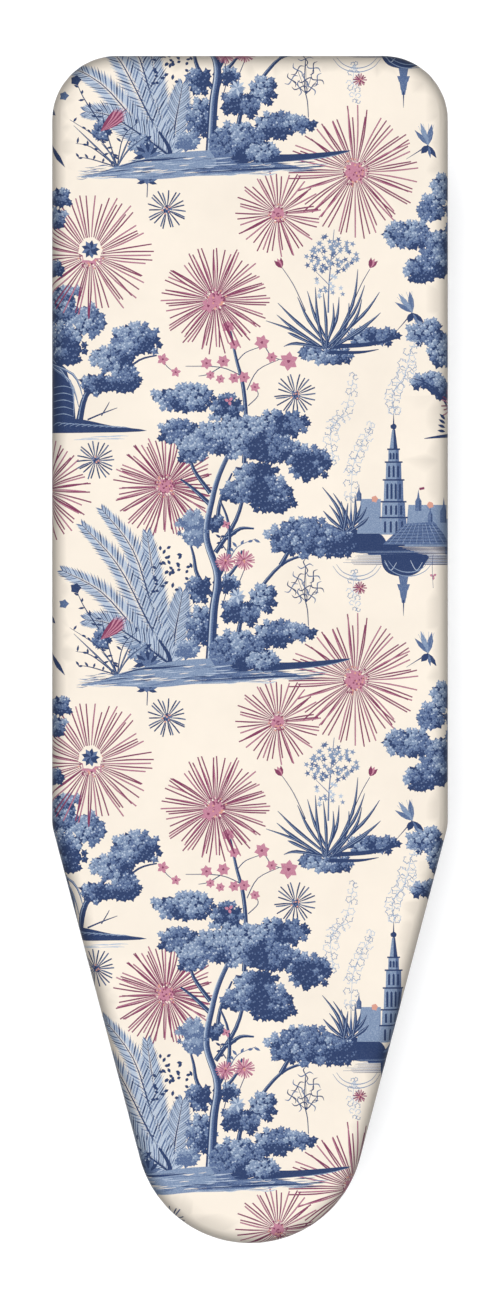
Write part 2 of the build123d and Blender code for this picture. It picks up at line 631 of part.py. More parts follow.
# ------------------------------------------------------------------ the middle pivot
BOLT_HEAD_R = 6.5
BOLT_HEAD = 5.0
NUT_THICK = 5.0
BOLT_START_X = INNER_X - TUBE_R - GAP
BOLT_END_X = OUTER_X + TUBE_R + NUT_THICK + GAP
SPACER_R = 8.0
with BuildPart() as cross_bolts:
    for sign in (-1, 1):
        with BuildSketch(Plane.YZ.offset(sign * BOLT_START_X)):
            with Locations((CROSS_Y, CROSS_Z)):
                Circle(PIN_R)
        extrude(amount=sign * (BOLT_END_X - BOLT_START_X))
        with BuildSketch(Plane.YZ.offset(sign * BOLT_START_X)):
            with Locations((CROSS_Y, CROSS_Z)):
                RegularPolygon(BOLT_HEAD_R, 6)
        extrude(amount=-sign * BOLT_HEAD)
write(cross_bolts, "cross_bolts")

with BuildPart() as cross_nuts:
    for sign in (-1, 1):
        with BuildSketch(Plane.YZ.offset(sign * (OUTER_X + TUBE_R))):
            with Locations((CROSS_Y, CROSS_Z)):
                RegularPolygon(BOLT_HEAD_R, 6)
                Circle(PIN_R, mode=Mode.SUBTRACT)
        extrude(amount=sign * NUT_THICK)
write(cross_nuts, "cross_nuts")

with BuildPart() as cross_spacers:
    for sign in (-1, 1):
        with BuildSketch(Plane.YZ.offset(sign * (INNER_X + TUBE_R + GAP))):
            with Locations((CROSS_Y, CROSS_Z)):
                Circle(SPACER_R)
                Circle(PIN_R, mode=Mode.SUBTRACT)
        extrude(amount=sign * (OUTER_X - INNER_X - 2 * TUBE_R - GAP))
write(cross_spacers, "cross_spacers")

# ------------------------------------------------------------------ the sliding axle and its rod
AXLE_PAST = 3.0  # axle past the outside of the leg tubes
AXLE_HALF = INNER_X + TUBE_R + AXLE_PAST
AXLE_CAP_R = 8.0
AXLE_CAP_LENGTH = 4.0
EYE_R = 10.5
EYE_HALF = 10.0
BUSH_R = 11.0
BUSH_EYE_GAP = 0.5
BUSH_WALL_GAP = 1.0
BUSH_START_X = EYE_HALF + BUSH_EYE_GAP
BUSH_END_X = CHANNEL_HALF - SHEET - BUSH_WALL_GAP
with BuildPart() as slide_axle:
    with BuildSketch(Plane.YZ.offset(-AXLE_HALF)):
        with Locations((AXLE_Y, PIVOT_Z)):
            Circle(AXLE_R)
    extrude(amount=2 * AXLE_HALF)
write(slide_axle, "slide_axle")

with BuildPart() as axle_caps:
    for sign in (-1, 1):
        with BuildSketch(Plane.YZ.offset(sign * (INNER_X + TUBE_R))):
            with Locations((AXLE_Y, PIVOT_Z)):
                Circle(AXLE_CAP_R)
        extrude(amount=sign * AXLE_CAP_LENGTH)
        with BuildSketch(Plane.YZ.offset(sign * (INNER_X + TUBE_R))):
            with Locations((AXLE_Y, PIVOT_Z)):
                Circle(AXLE_R)
        extrude(amount=sign * (AXLE_HALF - INNER_X - TUBE_R), mode=Mode.SUBTRACT)
write(axle_caps, "axle_caps")

with BuildPart() as slide_bushes:
    for sign in (-1, 1):
        with BuildSketch(Plane.YZ.offset(sign * BUSH_START_X)):
            with Locations((AXLE_Y, PIVOT_Z)):
                Circle(BUSH_R)
                Circle(AXLE_R, mode=Mode.SUBTRACT)
        extrude(amount=sign * (BUSH_END_X - BUSH_START_X))
write(slide_bushes, "slide_bushes")

ROD_LENGTH = 580.0
with BuildPart() as slide_rod:
    with BuildSketch(Plane.XZ.offset(-(AXLE_Y + ROD_LENGTH))):
        with Locations((0, PIVOT_Z)):
            Circle(ROD_R)
    extrude(amount=ROD_LENGTH)
    with BuildSketch(Plane.YZ.offset(-EYE_HALF)):
        with Locations((AXLE_Y, PIVOT_Z)):
            Circle(EYE_R)
    extrude(amount=2 * EYE_HALF)
    with Locations((0, AXLE_Y, PIVOT_Z)):
        Cylinder(AXLE_R + RUNNING, 4 * EYE_HALF, rotation=(0, 90, 0), mode=Mode.SUBTRACT)
write(slide_rod, "slide_rod")

ROD_CAP_R = 7.5
ROD_CAP_LENGTH = 16.0
ROD_CAP_WALL = 3.0
ROD_CAP_EDGE_R = 2.0
rod_end_y = AXLE_Y + ROD_LENGTH
with BuildPart() as rod_cap:
    with BuildSketch(Plane.XZ.offset(-(rod_end_y + ROD_CAP_WALL))):
        with Locations((0, PIVOT_Z)):
            Circle(ROD_CAP_R)
    extrude(amount=ROD_CAP_LENGTH)
    fillet(rod_cap.faces().sort_by(Axis.Y)[-1].edges(), radius=ROD_CAP_EDGE_R)
    with BuildSketch(Plane.XZ.offset(-rod_end_y)):
        with Locations((0, PIVOT_Z)):
            Circle(ROD_R)
    extrude(amount=ROD_CAP_LENGTH, mode=Mode.SUBTRACT)
write(rod_cap, "rod_cap")
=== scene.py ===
import json
import math
import random

import bmesh
import bpy
import numpy as np
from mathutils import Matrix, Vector, geometry, kdtree, noise


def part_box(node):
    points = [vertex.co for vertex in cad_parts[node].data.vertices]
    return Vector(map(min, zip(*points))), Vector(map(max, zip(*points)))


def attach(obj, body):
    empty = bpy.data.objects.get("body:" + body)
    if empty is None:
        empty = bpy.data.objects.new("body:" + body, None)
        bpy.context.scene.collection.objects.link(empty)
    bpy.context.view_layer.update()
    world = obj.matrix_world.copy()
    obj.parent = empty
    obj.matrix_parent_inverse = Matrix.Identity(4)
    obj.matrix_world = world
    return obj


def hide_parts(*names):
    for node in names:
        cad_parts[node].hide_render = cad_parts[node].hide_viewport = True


# The looks of a folding ironing board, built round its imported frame: metres, +Z up, nose to -Y.
# The printed cover is drawn flat, in millimetres, then wrapped over the board's rolled edge.

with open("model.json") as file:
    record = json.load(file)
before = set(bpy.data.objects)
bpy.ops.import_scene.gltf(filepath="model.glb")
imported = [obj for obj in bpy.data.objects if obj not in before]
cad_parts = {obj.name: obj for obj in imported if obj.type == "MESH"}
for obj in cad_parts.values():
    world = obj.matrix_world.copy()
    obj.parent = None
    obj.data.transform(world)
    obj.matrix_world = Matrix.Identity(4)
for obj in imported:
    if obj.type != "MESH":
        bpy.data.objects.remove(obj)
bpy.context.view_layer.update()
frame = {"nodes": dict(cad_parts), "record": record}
MM = 0.001

COVER_LOW, COVER_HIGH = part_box("cover")
HALF_WIDTH = COVER_HIGH.x / MM
HALF_LENGTH = COVER_HIGH.y / MM
TOP_Z = COVER_HIGH.z / MM
COVER_DEPTH = (COVER_HIGH.z - COVER_LOW.z) / MM

# ------------------------------------------------------------------ camera, lights and floor
CAMERA_HEIGHT = 8.0  # above the ironing surface
VIEW_HEIGHT = 1.3115  # length of the picture on the ironing surface
SENSOR = 36.0
world = bpy.data.worlds.new("studio")
bpy.context.scene.world = world
world.use_nodes = True
sky = world.node_tree.nodes["Background"].inputs
sky["Color"].default_value = (0.95, 0.97, 1.0, 1)
sky["Strength"].default_value = 0.11
bpy.context.scene.view_settings.view_transform = "Standard"

camera_data = bpy.data.cameras.new("camera")
camera_data.sensor_fit = "VERTICAL"
camera_data.sensor_height = SENSOR
camera_data.lens = SENSOR * CAMERA_HEIGHT / VIEW_HEIGHT
camera_data.clip_end = 60
camera = bpy.data.objects.new("camera", camera_data)
camera.location = (0, 0, TOP_Z * MM + CAMERA_HEIGHT)
bpy.context.scene.collection.objects.link(camera)
bpy.context.scene.camera = camera


def aimed_light(name, kind, place, target, energy, size, colour=(1, 1, 1)):
    """A soft studio light at place, aimed at target: a far one, or a square one nearby."""
    data = bpy.data.lights.new(name, kind)
    if kind == "SUN":
        data.angle = size
    else:
        data.shape = "SQUARE"
        data.size = size
    data.energy = energy
    data.color = colour
    light = bpy.data.objects.new(name, data)
    light.location = place
    light.rotation_euler = (Vector(target) - Vector(place)).to_track_quat("-Z", "Y").to_euler()
    bpy.context.scene.collection.objects.link(light)


aimed_light("overhead", "SUN", (-0.05, 0.08, 4.0), (0, 0, 0.8), 2.86, math.radians(9))
aimed_light("side_fill", "AREA", (2.6, -2.2, 1.7), (0, 0, 0.5), 7, 2.0)
aimed_light("back_fill", "AREA", (-2.6, 2.4, 1.5), (0, 0, 0.5), 5, 2.0)


# ------------------------------------------------------------------ the board's outline
REAR_RADIUS = 65.0
NOSE_RADIUS = 115.0
SHOULDER_Y = -178.0
SHOULDER_RADIUS = 45.0
TOP_ROLL = 9.0
HEM_ROLL = 8.0
HEM_FLAT = 20.0  # the flat hem under the rim
NOSE_CENTRE_Y = -HALF_LENGTH + NOSE_RADIUS
TAPER = math.atan2(HALF_WIDTH, SHOULDER_Y - NOSE_CENTRE_Y) - math.asin(
    NOSE_RADIUS / math.hypot(HALF_WIDTH, SHOULDER_Y - NOSE_CENTRE_Y)
)
ROLL_LENGTH = TOP_ROLL * math.pi / 2
SIDE_LENGTH = COVER_DEPTH - TOP_ROLL - HEM_ROLL
HEM_ROLL_LENGTH = HEM_ROLL * math.pi / 2
SKIRT = ROLL_LENGTH + SIDE_LENGTH + HEM_ROLL_LENGTH + HEM_FLAT


def arc(centre, radius, start, end, step):
    """Points along an arc, in degrees, clockwise or not, about step apart."""
    count = max(2, int(abs(math.radians(end - start)) * radius / step))
    angles = [math.radians(start + (end - start) * i / count) for i in range(count)]
    return [(centre[0] + radius * math.cos(a), centre[1] + radius * math.sin(a)) for a in angles]


def line(start, end, step):
    """Points along a line, the end left out, about step apart."""
    count = max(1, int(math.dist(start, end) / step))
    return [
        (start[0] + (end[0] - start[0]) * i / count, start[1] + (end[1] - start[1]) * i / count)
        for i in range(count)
    ]


def outline(inset, step):
    """The board's outline moved inwards by inset, anticlockwise from the rear right corner."""
    half = HALF_WIDTH - inset
    rear = HALF_LENGTH - inset
    corner = REAR_RADIUS - inset
    shoulder = SHOULDER_RADIUS - inset
    nose = NOSE_RADIUS - inset
    taper = math.degrees(TAPER)
    apex = NOSE_CENTRE_Y - nose / math.sin(TAPER)
    shoulder_y = apex + half / math.tan(TAPER)
    setback = shoulder * math.tan(TAPER / 2)
    bend = (half - shoulder, shoulder_y + setback)
    tangent = (nose * math.cos(TAPER), NOSE_CENTRE_Y - nose * math.sin(TAPER))
    right = arc((half - corner, rear - corner), corner, 90, 0, step)
    right += line((half, rear - corner), (half, bend[1]), step)
    right += arc(bend, shoulder, 0, -taper, step)
    start = (bend[0] + shoulder * math.cos(TAPER), bend[1] - shoulder * math.sin(TAPER))
    right += line(start, tangent, step)
    right += arc((0, NOSE_CENTRE_Y), nose, -taper, -90, step)
    left = [(-x, y) for x, y in reversed(right[1:])]
    top = line((-(half - corner), rear), (half - corner, rear), step)
    loop = right + [(0, NOSE_CENTRE_Y - nose)] + left + top
    return [(x, y) for x, y in reversed(loop)]


# ------------------------------------------------------------------ drawing the print, flat
NAVY, BLUE, SKY, MIST, MAGENTA, PINK, PEACH, CREAM = range(8)
INKS = {
    NAVY: ("print_navy", (36, 57, 102)),
    BLUE: ("print_blue", (78, 101, 144)),
    SKY: ("print_sky", (122, 143, 176)),
    MIST: ("print_mist", (184, 198, 217)),
    MAGENTA: ("print_magenta", (130, 52, 90)),
    PINK: ("print_pink", (196, 126, 150)),
    PEACH: ("print_peach", (222, 160, 142)),
    CREAM: ("cotton_cream", (252, 241, 226)),
}
REPEAT = 513.0  # length of the print's repeat along the board
rng = random.Random(20)
shapes = []


def smooth(points, steps):
    """Points on a smooth curve through the given points."""
    pts = [points[0], *points, points[-1]]
    out = []
    for a, b, c, d in zip(pts, pts[1:], pts[2:], pts[3:]):
        for i in range(steps):
            t = i / steps
            out.append(
                tuple(
                    0.5 * (2 * q + (r - p) * t + (2 * p - 5 * q + 4 * r - s) * t * t
                           + (3 * q - p - 3 * r + s) * t**3)
                    for p, q, r, s in zip(a, b, c, d)
                )
            )
    return out + [tuple(points[-1])]


def fill(ink, points):
    """A flat area of ink with straight sides."""
    shapes.append((ink, points))


def pool(ink, points):
    """A flat area of ink with a smooth edge, whose first point is given again as its last."""
    fill(ink, smooth(points, 3)[:-1])


def stroke(ink, points, start, middle, end, steps=4, shift=0.0):
    """A brush stroke along a curve, with its width at the start, the middle and the end."""
    path = smooth(points, steps) if len(points) > 2 else list(points)
    left, right = [], []
    last = len(path) - 1
    for i, (x, y) in enumerate(path):
        t = i / last
        width = start + (middle - start) * t * 2 if t < 0.5 else middle + (end - middle) * (2 * t - 1)
        ax, ay = path[max(i - 1, 0)]
        bx, by = path[min(i + 1, last)]
        length = math.hypot(bx - ax, by - ay) or 1
        nx, ny = -(by - ay) / length, (bx - ax) / length
        left.append((x + nx * (shift + width / 2), y + ny * (shift + width / 2)))
        right.append((x + nx * (shift - width / 2), y + ny * (shift - width / 2)))
    fill(ink, left + right[::-1])


def leaf(ink, x, y, angle, length, width):
    """A pointed leaf from (x, y), angle in radians."""
    c, s = math.cos(angle), math.sin(angle)
    profile = ((0, 0), (0.3, 0.45), (0.6, 0.5), (1, 0), (0.6, -0.5), (0.3, -0.45))
    points = [(t * length, w * width) for t, w in profile]
    fill(ink, [(x + u * c - v * s, y + u * s + v * c) for u, v in points])


def rosette(ink, x, y, radius, lobes=5, depth=0.3):
    """A small round cluster of leaves with a lobed edge."""
    turn = rng.uniform(0, 6.28)
    points = []
    for i in range(lobes * 2):
        a = turn + math.pi * i / lobes
        r = radius * (1 if i % 2 else 1 - depth) * rng.uniform(0.9, 1.1)
        points.append((x + r * math.cos(a), y + r * math.sin(a)))
    shapes.append((ink, points))


def tuft(ink, x, y, radius, pull, lobes=4):
    """A tuft of a few blunt leaves, with the notches between them cut to pull times the radius."""
    turn = rng.uniform(0, 6.28)
    points = []
    for i in range(lobes * 2):
        a = turn + math.pi * i / lobes
        r = radius * (rng.uniform(0.9, 1.2) if i % 2 else pull)
        points.append((x + r * math.cos(a), y + r * math.sin(a)))
    shapes.append((ink, points))


def canopy(x, y, rx, ry, light=0.0, under=NAVY, pitch=7.0):
    """A mass of leaves: a dark ragged shape, then lobed clumps that are lit at the upper left."""
    around = 2 * math.pi * math.sqrt((rx * rx + ry * ry) / 2)
    count = max(9, int(around / 5.5)) * 2
    phase = rng.uniform(0, 6.28)
    edge = []
    for i in range(count):
        a = 2 * math.pi * i / count
        swell = 0.88 + 0.09 * math.sin(3 * a + phase) + 0.06 * math.sin(7 * a + 2 * phase)
        notch = rng.uniform(0.8, 2.4) if i % 2 else -0.9
        edge.append((x + (rx * swell + notch) * math.cos(a), y + (ry * swell + notch) * math.sin(a)))
    fill(under, edge)
    rows = int(ry * 1.1 / (pitch * 0.8)) + 1
    columns = int(rx * 1.1 / pitch) + 1
    for row in range(rows, -rows - 1, -1):
        for column in range(-columns, columns + 1):
            px = (column + (row % 2) / 2) * pitch + rng.uniform(-1.6, 1.6)
            py = row * pitch * 0.8 + rng.uniform(-1.6, 1.6)
            if (px / rx) ** 2 + (py / ry) ** 2 > 1.05:
                continue
            patch = noise.noise(((x + px) * 0.05, (y + py) * 0.07, 5.0))
            lit = -0.35 * px / rx + 0.5 * py / ry + 1.1 * patch + rng.uniform(-0.12, 0.12) + light
            if lit > 0.26:
                clump, top, low = SKY, MIST, BLUE
            elif lit > -0.26:
                clump, top, low = BLUE, MIST if rng.random() < 0.3 else SKY, under
            else:
                clump, top, low = under, BLUE, under
            cx, cy = x + px, y + py
            tuft(clump, cx, cy, pitch * rng.uniform(0.56, 0.68), 0.66, rng.choice((5, 6, 7)))
            for turn in (1.3, 2.9):
                a = turn + rng.uniform(-0.5, 0.5)
                tuft(top, cx + 2.1 * math.cos(a), cy + 2.1 * math.sin(a), rng.uniform(1.1, 1.6), 0.45)
            if low != clump:
                a = rng.uniform(-1.6, 0.2)
                tuft(low, cx + 2.4 * math.cos(a), cy + 2.4 * math.sin(a), rng.uniform(1.2, 1.7), 0.45)


def canopies(*rows):
    """Leaf masses, each given by what canopy takes."""
    for row in rows:
        canopy(*row)


def strokes(ink, widths, *paths):
    """Strokes that share an ink and their three widths."""
    for path in paths:
        stroke(ink, path, *widths)


def starburst(x, y, radius, petals, ink=MAGENTA, core=PINK, width=1.5, squash=1.0):
    """A flower head of thin petals that bend a little, round a stippled middle."""
    for i in range(petals):
        a = 2 * math.pi * (i + rng.uniform(-0.22, 0.22)) / petals
        reach = radius * rng.uniform(0.84, 1.03)
        bend = rng.uniform(-0.09, 0.09)
        inner = radius * rng.uniform(0.1, 0.2)
        points = []
        for t, turn in ((inner, 0), ((inner + reach) / 2, bend * 0.4), (reach, bend)):
            points.append((x + t * math.cos(a + turn), y + squash * t * math.sin(a + turn)))
        stroke(ink, points, width * 0.4, width, width * 0.85, steps=3)
        if i % 3 == 0:
            stroke(core, points, width * 0.15, width * 0.5, width * 0.4, steps=3)
    rosette(core, x, y, radius * 0.17, 9, 0.2)
    for i in range(int(radius * 1.2)):
        a = rng.uniform(0, 6.28)
        r = radius * 0.22 * math.sqrt(rng.random())
        speck = (PEACH, core, ink, ink)[i % 4]
        rosette(speck, x + r * math.cos(a), y + r * math.sin(a), width * 0.8, 3)


def blossom(ink, x, y, radius, petals=5):
    """An open flower of a few broad petals."""
    turn = rng.uniform(0, 6.28)
    for i in range(petals):
        leaf(ink, x, y, turn + 2 * math.pi * i / petals, radius, radius * 0.62)
    rosette(MAGENTA, x, y, radius * 0.22, 3)


def frond(points, leaflet, body=SKY):
    """A feathery palm leaf: a rib with close leaflets that get shorter towards the tip."""
    rib = smooth(points, 15)
    count = len(rib)
    for i in range(1, count - 1):
        t = i / count
        (ax, ay), (bx, by) = rib[i - 1], rib[i + 1]
        heading = math.atan2(by - ay, bx - ax)
        length = leaflet * math.sin(math.pi * min(1, 0.18 + 0.82 * t)) ** 0.6 + 3
        for side in (1, -1):
            tilt = heading + side * (0.95 - 0.45 * t)
            ink = (body, BLUE, MIST, BLUE, body, NAVY)[(i + side) % 6]
            leaf(MIST, (rib[i][0] + ax) / 2, (rib[i][1] + ay) / 2, tilt, length * 0.92, 1.5)
            leaf(ink, rib[i][0], rib[i][1], tilt, length * rng.uniform(0.9, 1.1), 1.6)
    stroke(NAVY, points, 2.2, 1.3, 0.5)


def blade(tip, base, lean, width=3.4, ink=NAVY, glint=SKY):
    """A long grass blade from its base to its tip, bowed sideways by lean, with a pale line along it."""
    middle = ((base[0] + tip[0]) / 2 + lean, (base[1] + tip[1]) / 2 + abs(lean) * 0.5)
    stroke(ink, (base, middle, tip), width * 0.6, width, 0.3)
    stroke(glint, (base, middle, tip), width * 0.12, width * 0.22, 0.12, shift=width * 0.12)


def twig(points, leaves, ink=NAVY, length=7.0, width=1.2):
    """A thin stem with small pointed leaves along both sides."""
    stroke(ink, points, width, width * 0.7, 0.4)
    path = smooth(points, 12)
    for i in range(leaves):
        x, y = path[int((i + 1) * (len(path) - 1) / (leaves + 0.5))]
        leaf(ink, x, y, rng.uniform(-0.6, 3.7), length * rng.uniform(0.7, 1.1), length * 0.34)


def ring_outline(ink, x, y, radius, lobes, line_width):
    """The thin outline of a small lobed cluster, left open at one side."""
    turn = rng.uniform(0, 6.28)
    points = []
    for i in range(lobes * 2):
        a = turn + 5.6 * i / (lobes * 2)
        r = radius * (1 if i % 2 else 0.68)
        points.append((x + r * math.cos(a), y + r * math.sin(a)))
    stroke(ink, points, line_width, line_width, line_width, steps=1)


def draw_island():
    """The long bank of ground under the main tree."""
    bank = [(-176, -36), (-150, -31), (-134, -25), (-100, -16), (-60, -10), (-10, -9), (24, -13), (62, -12),
            (102, -9), (74, -17), (26, -22), (58, -27), (14, -30), (-20, -34), (-58, -35), (-90, -38),
            (-132, -37)]
    pool(SKY, bank + bank[:1])
    pool(BLUE, [(-40, -10), (24, -13), (62, -12), (102, -9), (74, -16), (26, -21),
                                 (50, -26), (-10, -31), (-60, -32), (-34, -24), (-40, -10)])
    pool(NAVY, [(-10, -9), (24, -13), (62, -12), (102, -9), (74, -16), (26, -21),
                                 (-10, -22), (-20, -15), (-10, -9)])
    for i in range(150):
        t = rng.random()
        x = -178 + 200 * t
        y = -38 + 5 * t + (8 + 12 * math.sin(math.pi * t) ** 0.7) * rng.random()
        length = rng.uniform(6, 22)
        ink = (BLUE, NAVY, MIST, BLUE, MIST, CREAM)[i % 6]
        width = rng.uniform(0.5, 1.1)
        middle = (x + length / 2, y + rng.uniform(-0.8, 0.8))
        stroke(ink, ((x, y), middle, (x + length, y + 1)), 0.2, width, 0.2)
    for i in range(26):
        x = rng.uniform(-20, 60)
        y = -31 + 12 * rng.random()
        stroke((NAVY, SKY)[i % 2], ((x, y), (x + 9, y + 0.6), (x + 20, y + 1)), 0.2, 1.0, 0.2)
    stroke(NAVY, ((-132, -26), (-112, -20), (-84, -18), (-64, -16)), 0.4, 2.2, 0.4)
    stroke(NAVY, ((-60, -32), (-10, -29), (40, -27), (64, -27)), 0.4, 2.0, 0.3)


def draw_main_tree():
    """The tall forked tree, its leaf masses and the shrubs round its foot."""
    trunk = ((-40, -12), (-37, 38), (-33, 75), (-44, 114), (-38, 152), (-31, 176), (-20, 200))
    branches = (
        ((-35, 98), (-14, 131), (-4, 168), (-3, 190)),
        ((-41, 147), (-57, 162), (-70, 172)),
        ((-40, 158), (-57, 182), (-60, 200)),
        ((-38, 54), (-53, 75), (-57, 95), (-62, 112)),
        ((-12, -2), (-10, 26), (5, 54), (31, 85), (57, 96), (72, 100)),
        ((-34, 118), (-30, 150), (-18, 178)),
        ((-24, 112), (-10, 122), (4, 122)),
        ((31, 85), (40, 100), (50, 108)),
        ((-38, 30), (-30, 62), (-14, 84), (-8, 100)),
        ((-36, 66), (-22, 96), (-22, 128), (-30, 150)),
        ((-6, 188), (-4, 230), (-7, 266), (-14, 294), (-20, 322)),
    )
    for path in branches[:-1]:
        stroke(NAVY, path, 5.0, 3.6, 1.6)
        stroke(SKY, path, 0.8, 0.7, 0.3, shift=0.9)
    canopies((-56, 122, 12, 17, 0.35, BLUE), (-52, 60, 11, 14, -0.15), (-49, 24, 15, 20),
             (-20, 66, 9, 8, -0.2), (-16, 40, 12, 14, -0.2), (-34, 128, 8, 7, -0.1), (14, 52, 13, 14),
             (0, 36, 10, 12, -0.2))
    stroke(NAVY, trunk, 10.0, 6.6, 3.8, steps=6)
    for shift, ink, width in ((2.9, MIST, 1.2), (1.7, SKY, 1.1), (0.6, BLUE, 1.0), (-0.6, BLUE, 0.5)):
        stroke(ink, trunk, width, width, width * 0.4, steps=6, shift=shift * 0.8)
    stroke(NAVY, branches[-1], 4.6, 4.0, 2.2, steps=6)
    stroke(SKY, branches[-1], 0.9, 0.9, 0.6, steps=6, shift=0.8)
    canopies((-72, 220, 21, 13, -0.1), (-66, 254, 33, 13, 0.15), (-24, 244, 15, 14, -0.15),
             (31, 227, 29, 14, -0.05), (24, 202, 30, 15, -0.3), (60, 188, 22, 17, -0.25),
             (-57, 203, 19, 15, 0.1), (-14, 216, 46, 21, 0.35), (-14, 158, 14, 11, -0.3),
             (6, 180, 24, 9, -0.4), (10, 162, 33, 14, -0.1), (24, 147, 22, 10, -0.3),
             (54, 113, 38, 19, -0.15), (86, 106, 23, 13, -0.35))
    for i in range(26):
        a = rng.uniform(0, 6.28)
        r = 16 * math.sqrt(rng.random())
        rosette((SKY, BLUE)[i % 2], -60 + r * math.cos(a), 120 + r * math.sin(a), 3.6, 6, 0.55)
    for i in range(34):
        x = rng.uniform(-96, -58)
        y = rng.uniform(58, 102)
        leaf(NAVY, x, y, rng.uniform(0, 6.28), rng.uniform(4, 6.5), 3.0)
    twig(((-20, 92), (-12, 104), (6, 112)), 6, BLUE, 8)
    twig(((-24, 100), (-30, 112), (-16, 116)), 5, NAVY, 7)
    starburst(-25, 88, 10, 22, PINK, MAGENTA, 1.5)
    starburst(-6, 90, 11, 24, PINK, MAGENTA, 1.5)
    strokes(NAVY, (0.8, 0.9, 0.9), ((-25, 79), (-24, 60), (-28, 44)), ((-6, 80), (-12, 66), (-20, 54)))
    blossom(PINK, -24, 126, 5, 4)
    blossom(PINK, -21, 251, 5, 3)
    canopies((-12, 0, 27, 20), (10, -10, 17, 12, 0.25), (25, 16, 19, 14, -0.05), (50, 18, 15, 8, 0.1),
             (-62, 0, 12, 10, 0.2, BLUE))
    for i in range(9):
        leaf((SKY, MIST)[i % 2], -13, 54, 0.7 * i, 9, 3)


def draw_orchids():
    """Pink flowers on thin stems round the tree's tall bare shoot."""
    strokes(NAVY, (1.0, 0.9, 0.6), ((-8, 276), (-30, 285), (-65, 286)), ((-12, 292), (-4, 300), (12, 306)),
            ((-3, 262), (8, 282), (30, 293)), ((-30, 285), (-42, 278), (-52, 276)),
            ((-2, 246), (8, 256), (6, 264)), ((14, 308), (22, 296), (34, 292)))
    for x, y, radius in (
        (-22, 326, 7), (-16, 308, 6), (-44, 289, 6.5), (-27, 291, 7), (-40, 277, 5), (-30, 273, 5),
        (-16, 274, 6), (-6, 275, 6.5), (5, 265, 5.5), (12, 310, 8), (22, 295, 6), (39, 291, 10),
    ):
        blossom(PINK, x, y, radius, 6)


def draw_palms():
    """The fan of palm leaves to the left of the tree, with its low plants and pink plume."""
    for points in (
        ((-80, -16), (-92, 30), (-98, 76), (-104, 118)),
        ((-78, -16), (-76, 14), (-72, 36), (-68, 58)),
        ((-80, -16), (-98, 40), (-118, 100), (-150, 142)),
        ((-80, -16), (-104, 30), (-134, 86), (-170, 126)),
        ((-80, -16), (-112, 16), (-150, 58), (-190, 80)),
        ((-82, -14), (-112, 8), (-142, 26), (-166, 30)),
    ):
        frond(points, 17)
    stroke(NAVY, ((-80, -20), (-82, -6), (-92, 10)), 6, 4, 2)
    canopies((-150, 10, 9, 11, -0.3), (-110, -2, 13, 10, 0.2))
    for points, leaves in (
        (((-134, -26), (-150, 0), (-182, 22)), 7),
        (((-134, -26), (-160, -6), (-176, -2)), 6),
        (((-134, -26), (-146, 14), (-150, 34)), 5),
        (((-134, -26), (-128, 4), (-112, 20)), 4),
        (((-134, -26), (-160, -18), (-174, -16)), 6),
        (((-152, 20), (-168, 44), (-176, 62)), 6),
    ):
        twig(points, leaves, NAVY, 6.5, 1.4)
    for tip in ((-178, 16), (-118, 12), (-104, 6), (-150, -2)):
        blade(tip, (-134, -26), rng.uniform(-6, 6), 1.8)
    rosette(NAVY, -176, 62, 6)
    rosette(BLUE, -188, 46, 5)
    for i in range(9):
        leaf((MAGENTA, PINK)[i % 2], -151, 10, 0.72 + 0.07 * (i - 4), 36 - 2 * abs(i - 4), 3.4)
    draw_sprig(-104, -14, 20)
    draw_sprig(-104, -40, 15)


def draw_sprig(x, y, size):
    """A hanging flower head of short dark leaves on a stalk."""
    stroke(NAVY, ((x, y - size * 1.1), (x + 0.6, y), (x, y + size)), 0.9, 1.0, 0.6)
    for i in range(9):
        a = -0.3 + 0.46 * i
        leaf((NAVY, BLUE)[i % 2], x, y, a, size * 0.72, size * 0.24)
    rosette(BLUE, x, y, size * 0.24)


